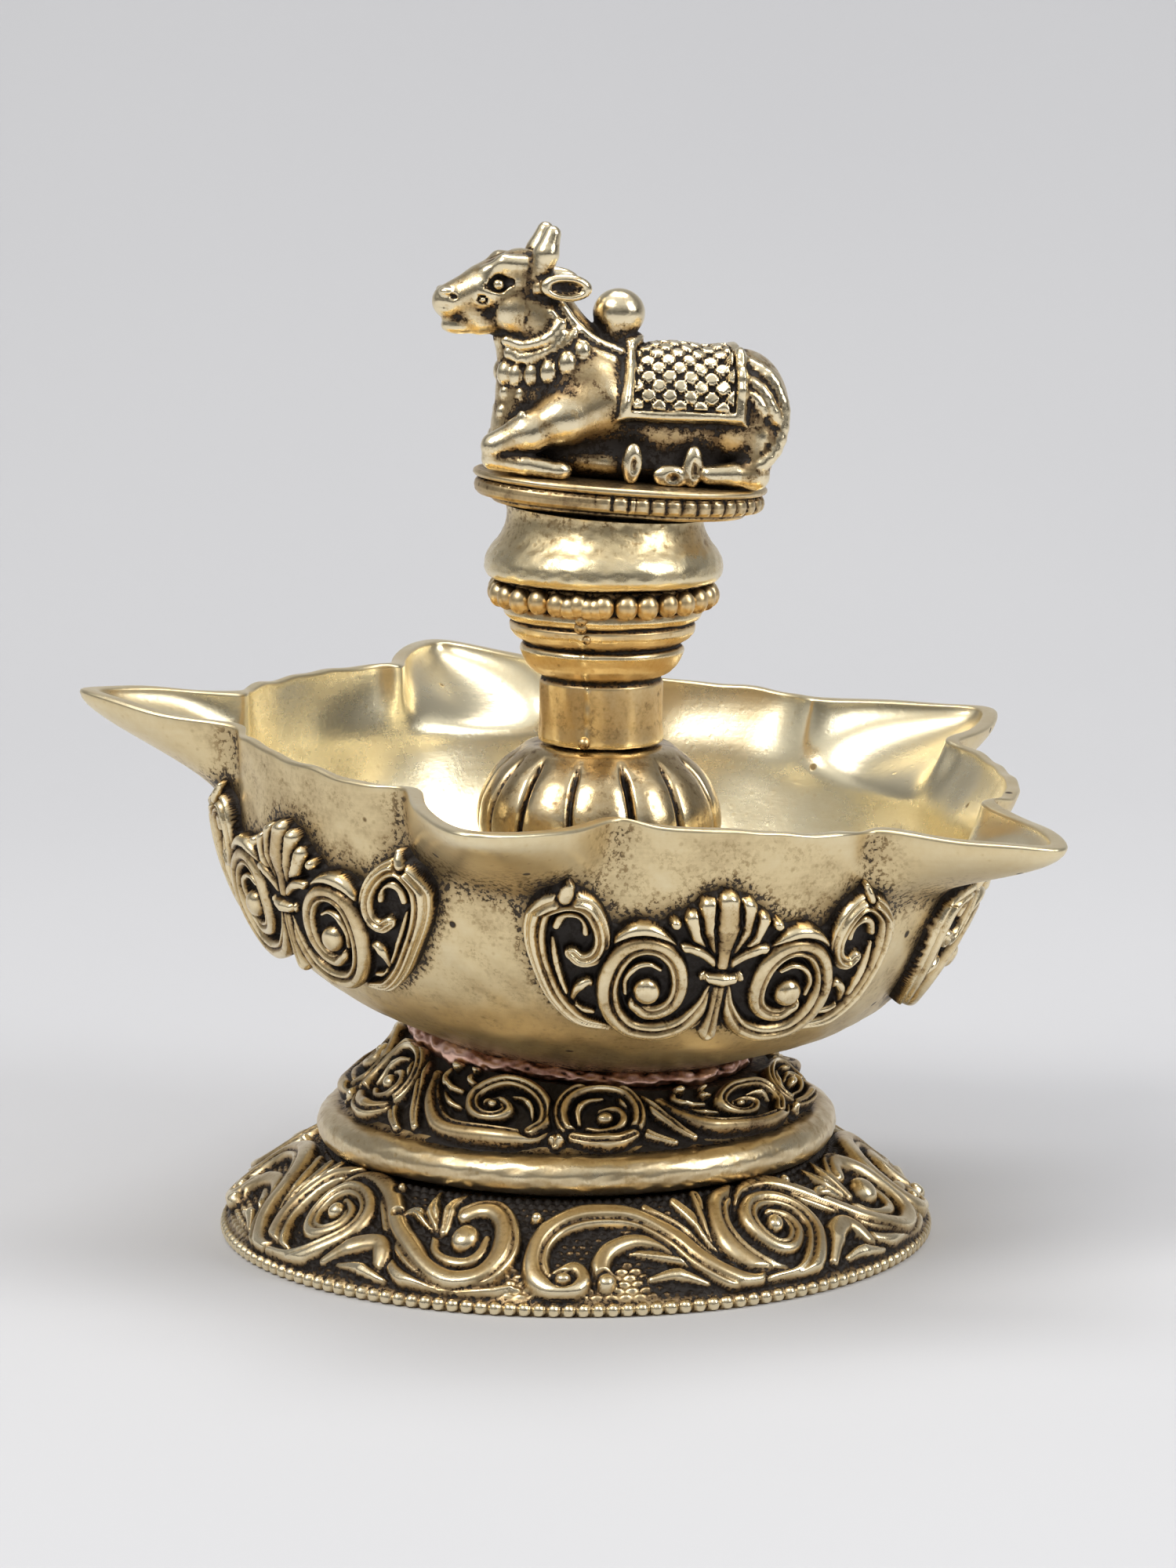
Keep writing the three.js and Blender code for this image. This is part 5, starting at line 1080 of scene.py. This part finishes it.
# Saddle cloth: a quilted shell with a raised border over the back
spans, x, y, z = bull.part((-4, -10.2, 6.0), (16, 10.2, 21))
over = 8 * np.arctan2(z - 8.5, np.abs(y) + 1e-6)
inset = np.minimum(np.minimum(x + 2.35 - (z - 7.6) * 0.13, 13.35 - x), z - 7.5 - (x + 1.9) * 0.04)
inset = np.minimum(inset, 17.2 + 0.35 * (x + 1) - z) + 0 * y
rim = smoothstep(inset, 0.0, 0.6) * (1 - smoothstep(inset, 1.3, 1.6))
quilt_pitch = 2.6
pillow = np.abs(np.sin(math.pi * (x + over) / quilt_pitch) * np.sin(math.pi * (x - over) / quilt_pitch))
thick = 0.3 + 0.62 * rim + 0.7 * np.minimum(1, 3.2 * pillow) * smoothstep(inset, 1.5, 1.7)
bull.merge(spans, np.maximum(bull.field[spans] - thick, -inset), 0.3, False)

# Collars, rope and bells, laid on the skin
COLLAR = [(-15.6, 15.9), (-13.9, 15.5), (-12.2, 16.0), (-10.6, 17.0), (-9.7, 18.6)]
BEADED = [(-15.4, 14.2), (-14.06, 13.8), (-12.2, 14.0), (-10.4, 15.2), (-8.6, 16.6), (-7.9, 17.7)]
ROPE = [(-9.6, 20.6), (-8.2, 18.8), (-6.2, 17.2), (-4.2, 16.2), (-1.8, 15.5)]
BELLS = [(-15.3, 11.9), (-14.1, 11.8), (-12.4, 12.1), (-10.6, 12.7), (-8.6, 13.9), (-6.9, 15.3)]
SMALL_BELLS = [(-15.4, 9.6), (-13.6, 9.6), (-15.7, 7.2), (-14, 7.2)]
SECOND_COLLAR = [(x + 0.3, z - 1.3) for x, z in COLLAR]
SECOND_ROPE = [(x - 1.2, z - 0.7) for x, z in ROPE]


def drop_at(place, radius, hand, depth):
    x, z = place
    return laid([place, (x + 0.01, z)], radius, hand, depth)[0]


for hand in (-1, 1):
    paths = [laid(line, radius, hand, 0)
             for line, radius in ((COLLAR, 0.75), (SECOND_COLLAR, 0.6), (BEADED, 0.55), (ROPE, 0.7))]
    drops = [drop_at(place, 1.3, hand, 0.2) for place in BELLS]
    drops += [drop_at(place, 0.7, hand, 0.35) for place in SMALL_BELLS]
    for path in paths + [laid(SECOND_ROPE, 0.5, hand)]:
        bull.tube(path, 0.15)
    for x, y, z, radius in drops:
        bull.lump((x, y, z), (radius * 0.9, radius * 0.9, radius * 1.25), 0.12)
ground, *_ = bull.part((-30, -12, -2), (30, 12, 0.05))
bull.field[ground] = np.maximum(bull.field[ground], 0.3)

# The solid's skin: a point in each cell that it passes through, and a face across each edge that it cuts
field = bull.field
corners = [(i, j, k) for i in (0, 1) for j in (0, 1) for k in (0, 1)]
size = [n - 1 for n in field.shape]
inside = field < 0
filled = sum(inside[i : i + size[0], j : j + size[1], k : k + size[2]].astype(int) for i, j, k in corners)
cells = np.argwhere((filled > 0) & (filled < 8))
number = np.full(size, -1)
number[tuple(cells.T)] = np.arange(len(cells))
values = np.stack([field[tuple((cells + corner).T)] for corner in corners], -1)
total, crossings = np.zeros((len(cells), 3)), np.zeros(len(cells))
for a in range(8):
    for b in range(a + 1, 8):
        if sum(abs(p - q) for p, q in zip(corners[a], corners[b])) != 1:
            continue
        cut = (values[:, a] < 0) != (values[:, b] < 0)
        t = np.where(cut, values[:, a] / (values[:, a] - values[:, b] + 1e-12), 0)[:, None]
        spot = np.array(corners[a]) + t * (np.array(corners[b]) - np.array(corners[a]))
        total += np.where(cut[:, None], spot, 0)
        crossings += cut
points = bull.low + (cells + total / crossings[:, None]) * bull.cell
quads = []
for axis in range(3):
    one, two = (np.eye(3, dtype=int)[(axis + turn) % 3] for turn in (1, 2))
    before = np.moveaxis(inside, axis, 0)[:-1]
    after = np.moveaxis(inside, axis, 0)[1:]
    places = np.argwhere(np.moveaxis(before != after, 0, axis))
    good = (places >= (one + two)).all(1) & (places < size).all(1)
    places = places[good]
    quad = np.stack([number[tuple((places - step).T)] for step in (0 * one, one, one + two, two)], -1)
    outward = inside[tuple(places.T)]
    quads.append(np.where(outward[:, None], quad, quad[:, ::-1]))
near_skin = np.clip(field, -1.8, 1.8)
hollows = blurred(near_skin, (0.75 / bull.cell,) * 3) - near_skin
nearest = tuple(np.clip(np.round((points - bull.low) / bull.cell).astype(int), 0, np.array(field.shape) - 1).T)
EAR_CENTRE, EAR_RADII = (-9.4, 5.3, 22.9), (2.2, 0.8, 0.9)
mirrored = np.stack([points[:, 0], np.abs(points[:, 1]), points[:, 2]], -1)
ear = (((mirrored - EAR_CENTRE) / EAR_RADII) ** 2).sum(-1)
# Darker in the skin's hollows: patina, and painted shade
bull_patina_and_shade = 0.49 - hollows[nearest] / 0.36
# Darker towards the bottom; the inside of the ear is painted dark as painted shade
bull_patina_and_shade += 0.22 * (1 - smoothstep(points[:, 2], 0.5, 6.5)) + 0.5 * (1 - smoothstep(ear, 0.5, 1.1))
figure = Shell()
figure.add(placed(points, FIGURE), np.vstack(quads), np.clip(bull_patina_and_shade, 0, 1))
figure.make("bull_casting", figure_brass, ["seated_bull"])

# Nodes that stay as they are, with better finishes
for name, finish in (("column_base", hidden_brass), ("tie_stud", steel_metal), ("stud_washer", steel_metal),
                     ("stud_nut", steel_metal)):
    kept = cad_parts[name]
    if not kept.material_slots:
        kept.data.materials.append(finish)
    for place in kept.material_slots:
        place.link = "OBJECT"
        place.material = finish

# Backdrop: a floor that sweeps up behind the lamp
sweep_material = bpy.data.materials.new("sweep")
sweep_material.use_nodes = True
tree = sweep_material.node_tree
shader = tree.nodes["Principled BSDF"]
shade = noise(tree, node(tree, "TexCoord").outputs["Object"], 3.0, 2.0)
tint = ramp(tree, shade, [(0.3, (0.585, 0.585, 0.60)), (0.7, (0.61, 0.61, 0.622))])
tree.links.new(tint, shader.inputs["Base Color"])
shader.inputs["Roughness"].default_value = 0.8
shader.inputs["Specular IOR Level"].default_value = 0.2
BEND_START, BEND_RADIUS, HALF_WIDTH = 0.3, 0.7, 5.0  # metres
bend = np.radians(np.linspace(4, 90, 24))
outline = [(-4.0, 0), (-1.0, 0), (BEND_START, 0)]
outline += [(BEND_START + BEND_RADIUS * math.sin(a), BEND_RADIUS * (1 - math.cos(a))) for a in bend]
outline += [(1.0, 1.4), (1.0, 3.0)]
places = [(x, y, z) for y, z in outline for x in (-HALF_WIDTH, HALF_WIDTH)]
mesh = bpy.data.meshes.new("sweep")
mesh.from_pydata(places, [], [(2 * k, 2 * k + 1, 2 * k + 3, 2 * k + 2) for k in range(len(outline) - 1)])
for face in mesh.polygons:
    face.use_smooth = True
mesh.materials.append(sweep_material)
sweep = linked("sweep", mesh)

world = bpy.data.worlds.new("world")
scene.world = world
world.use_nodes = True
tree = world.node_tree
tree.nodes.clear()
way = node(tree, "SeparateXYZ", {"Vector": node(tree, "TexCoord").outputs["Generated"]})
lift = span(tree, way.outputs["Z"], 0.0, 0.9, 0.0, 1.0)
side = span(tree, way.outputs["X"], 0.9, -0.9, 0.0, 1.0)
light = sum_of(tree, (lift, 0.75, 0.0), (side, 0.2, 0.0))
SKY_TONES = [(0.05, (0.05, 0.05, 0.052)), (0.3, (0.16, 0.16, 0.165)), (0.6, (0.75, 0.75, 0.75)),
             (0.9, (1, 1, 1))]
sky = ramp(tree, light, SKY_TONES)
background = node(tree, "Background", {"Color": sky, "Strength": 0.8})
output = node(tree, "OutputWorld")
tree.links.new(background.outputs[0], output.inputs["Surface"])


def lamp(name, place, target, size, watts, colour=(1, 1, 1)):
    data = bpy.data.lights.new(name, "AREA")
    data.shape = "RECTANGLE"
    data.size, data.size_y = size
    data.energy = watts
    data.color = colour
    made = linked(name, data)
    x, y, z = np.array(target, float) - np.array(place, float)
    made.location = place
    made.rotation_euler = (math.atan2(math.hypot(x, y), -z), 0, math.atan2(y, x) - math.pi / 2)


lamp("key", (-0.5, -0.5, 0.85), (0, 0, 0.05), (0.4, 0.4), 4.6, (1, 0.985, 0.96))
lamp("fill", (0.7, -0.35, 0.55), (0, 0, 0.05), (0.35, 0.5), 3.2, (0.98, 0.99, 1))
lamp("top", (0.05, 0.2, 1.0), (0, 0, 0), (0.7, 0.4), 4.0)

scene.view_settings.view_transform = "Standard"
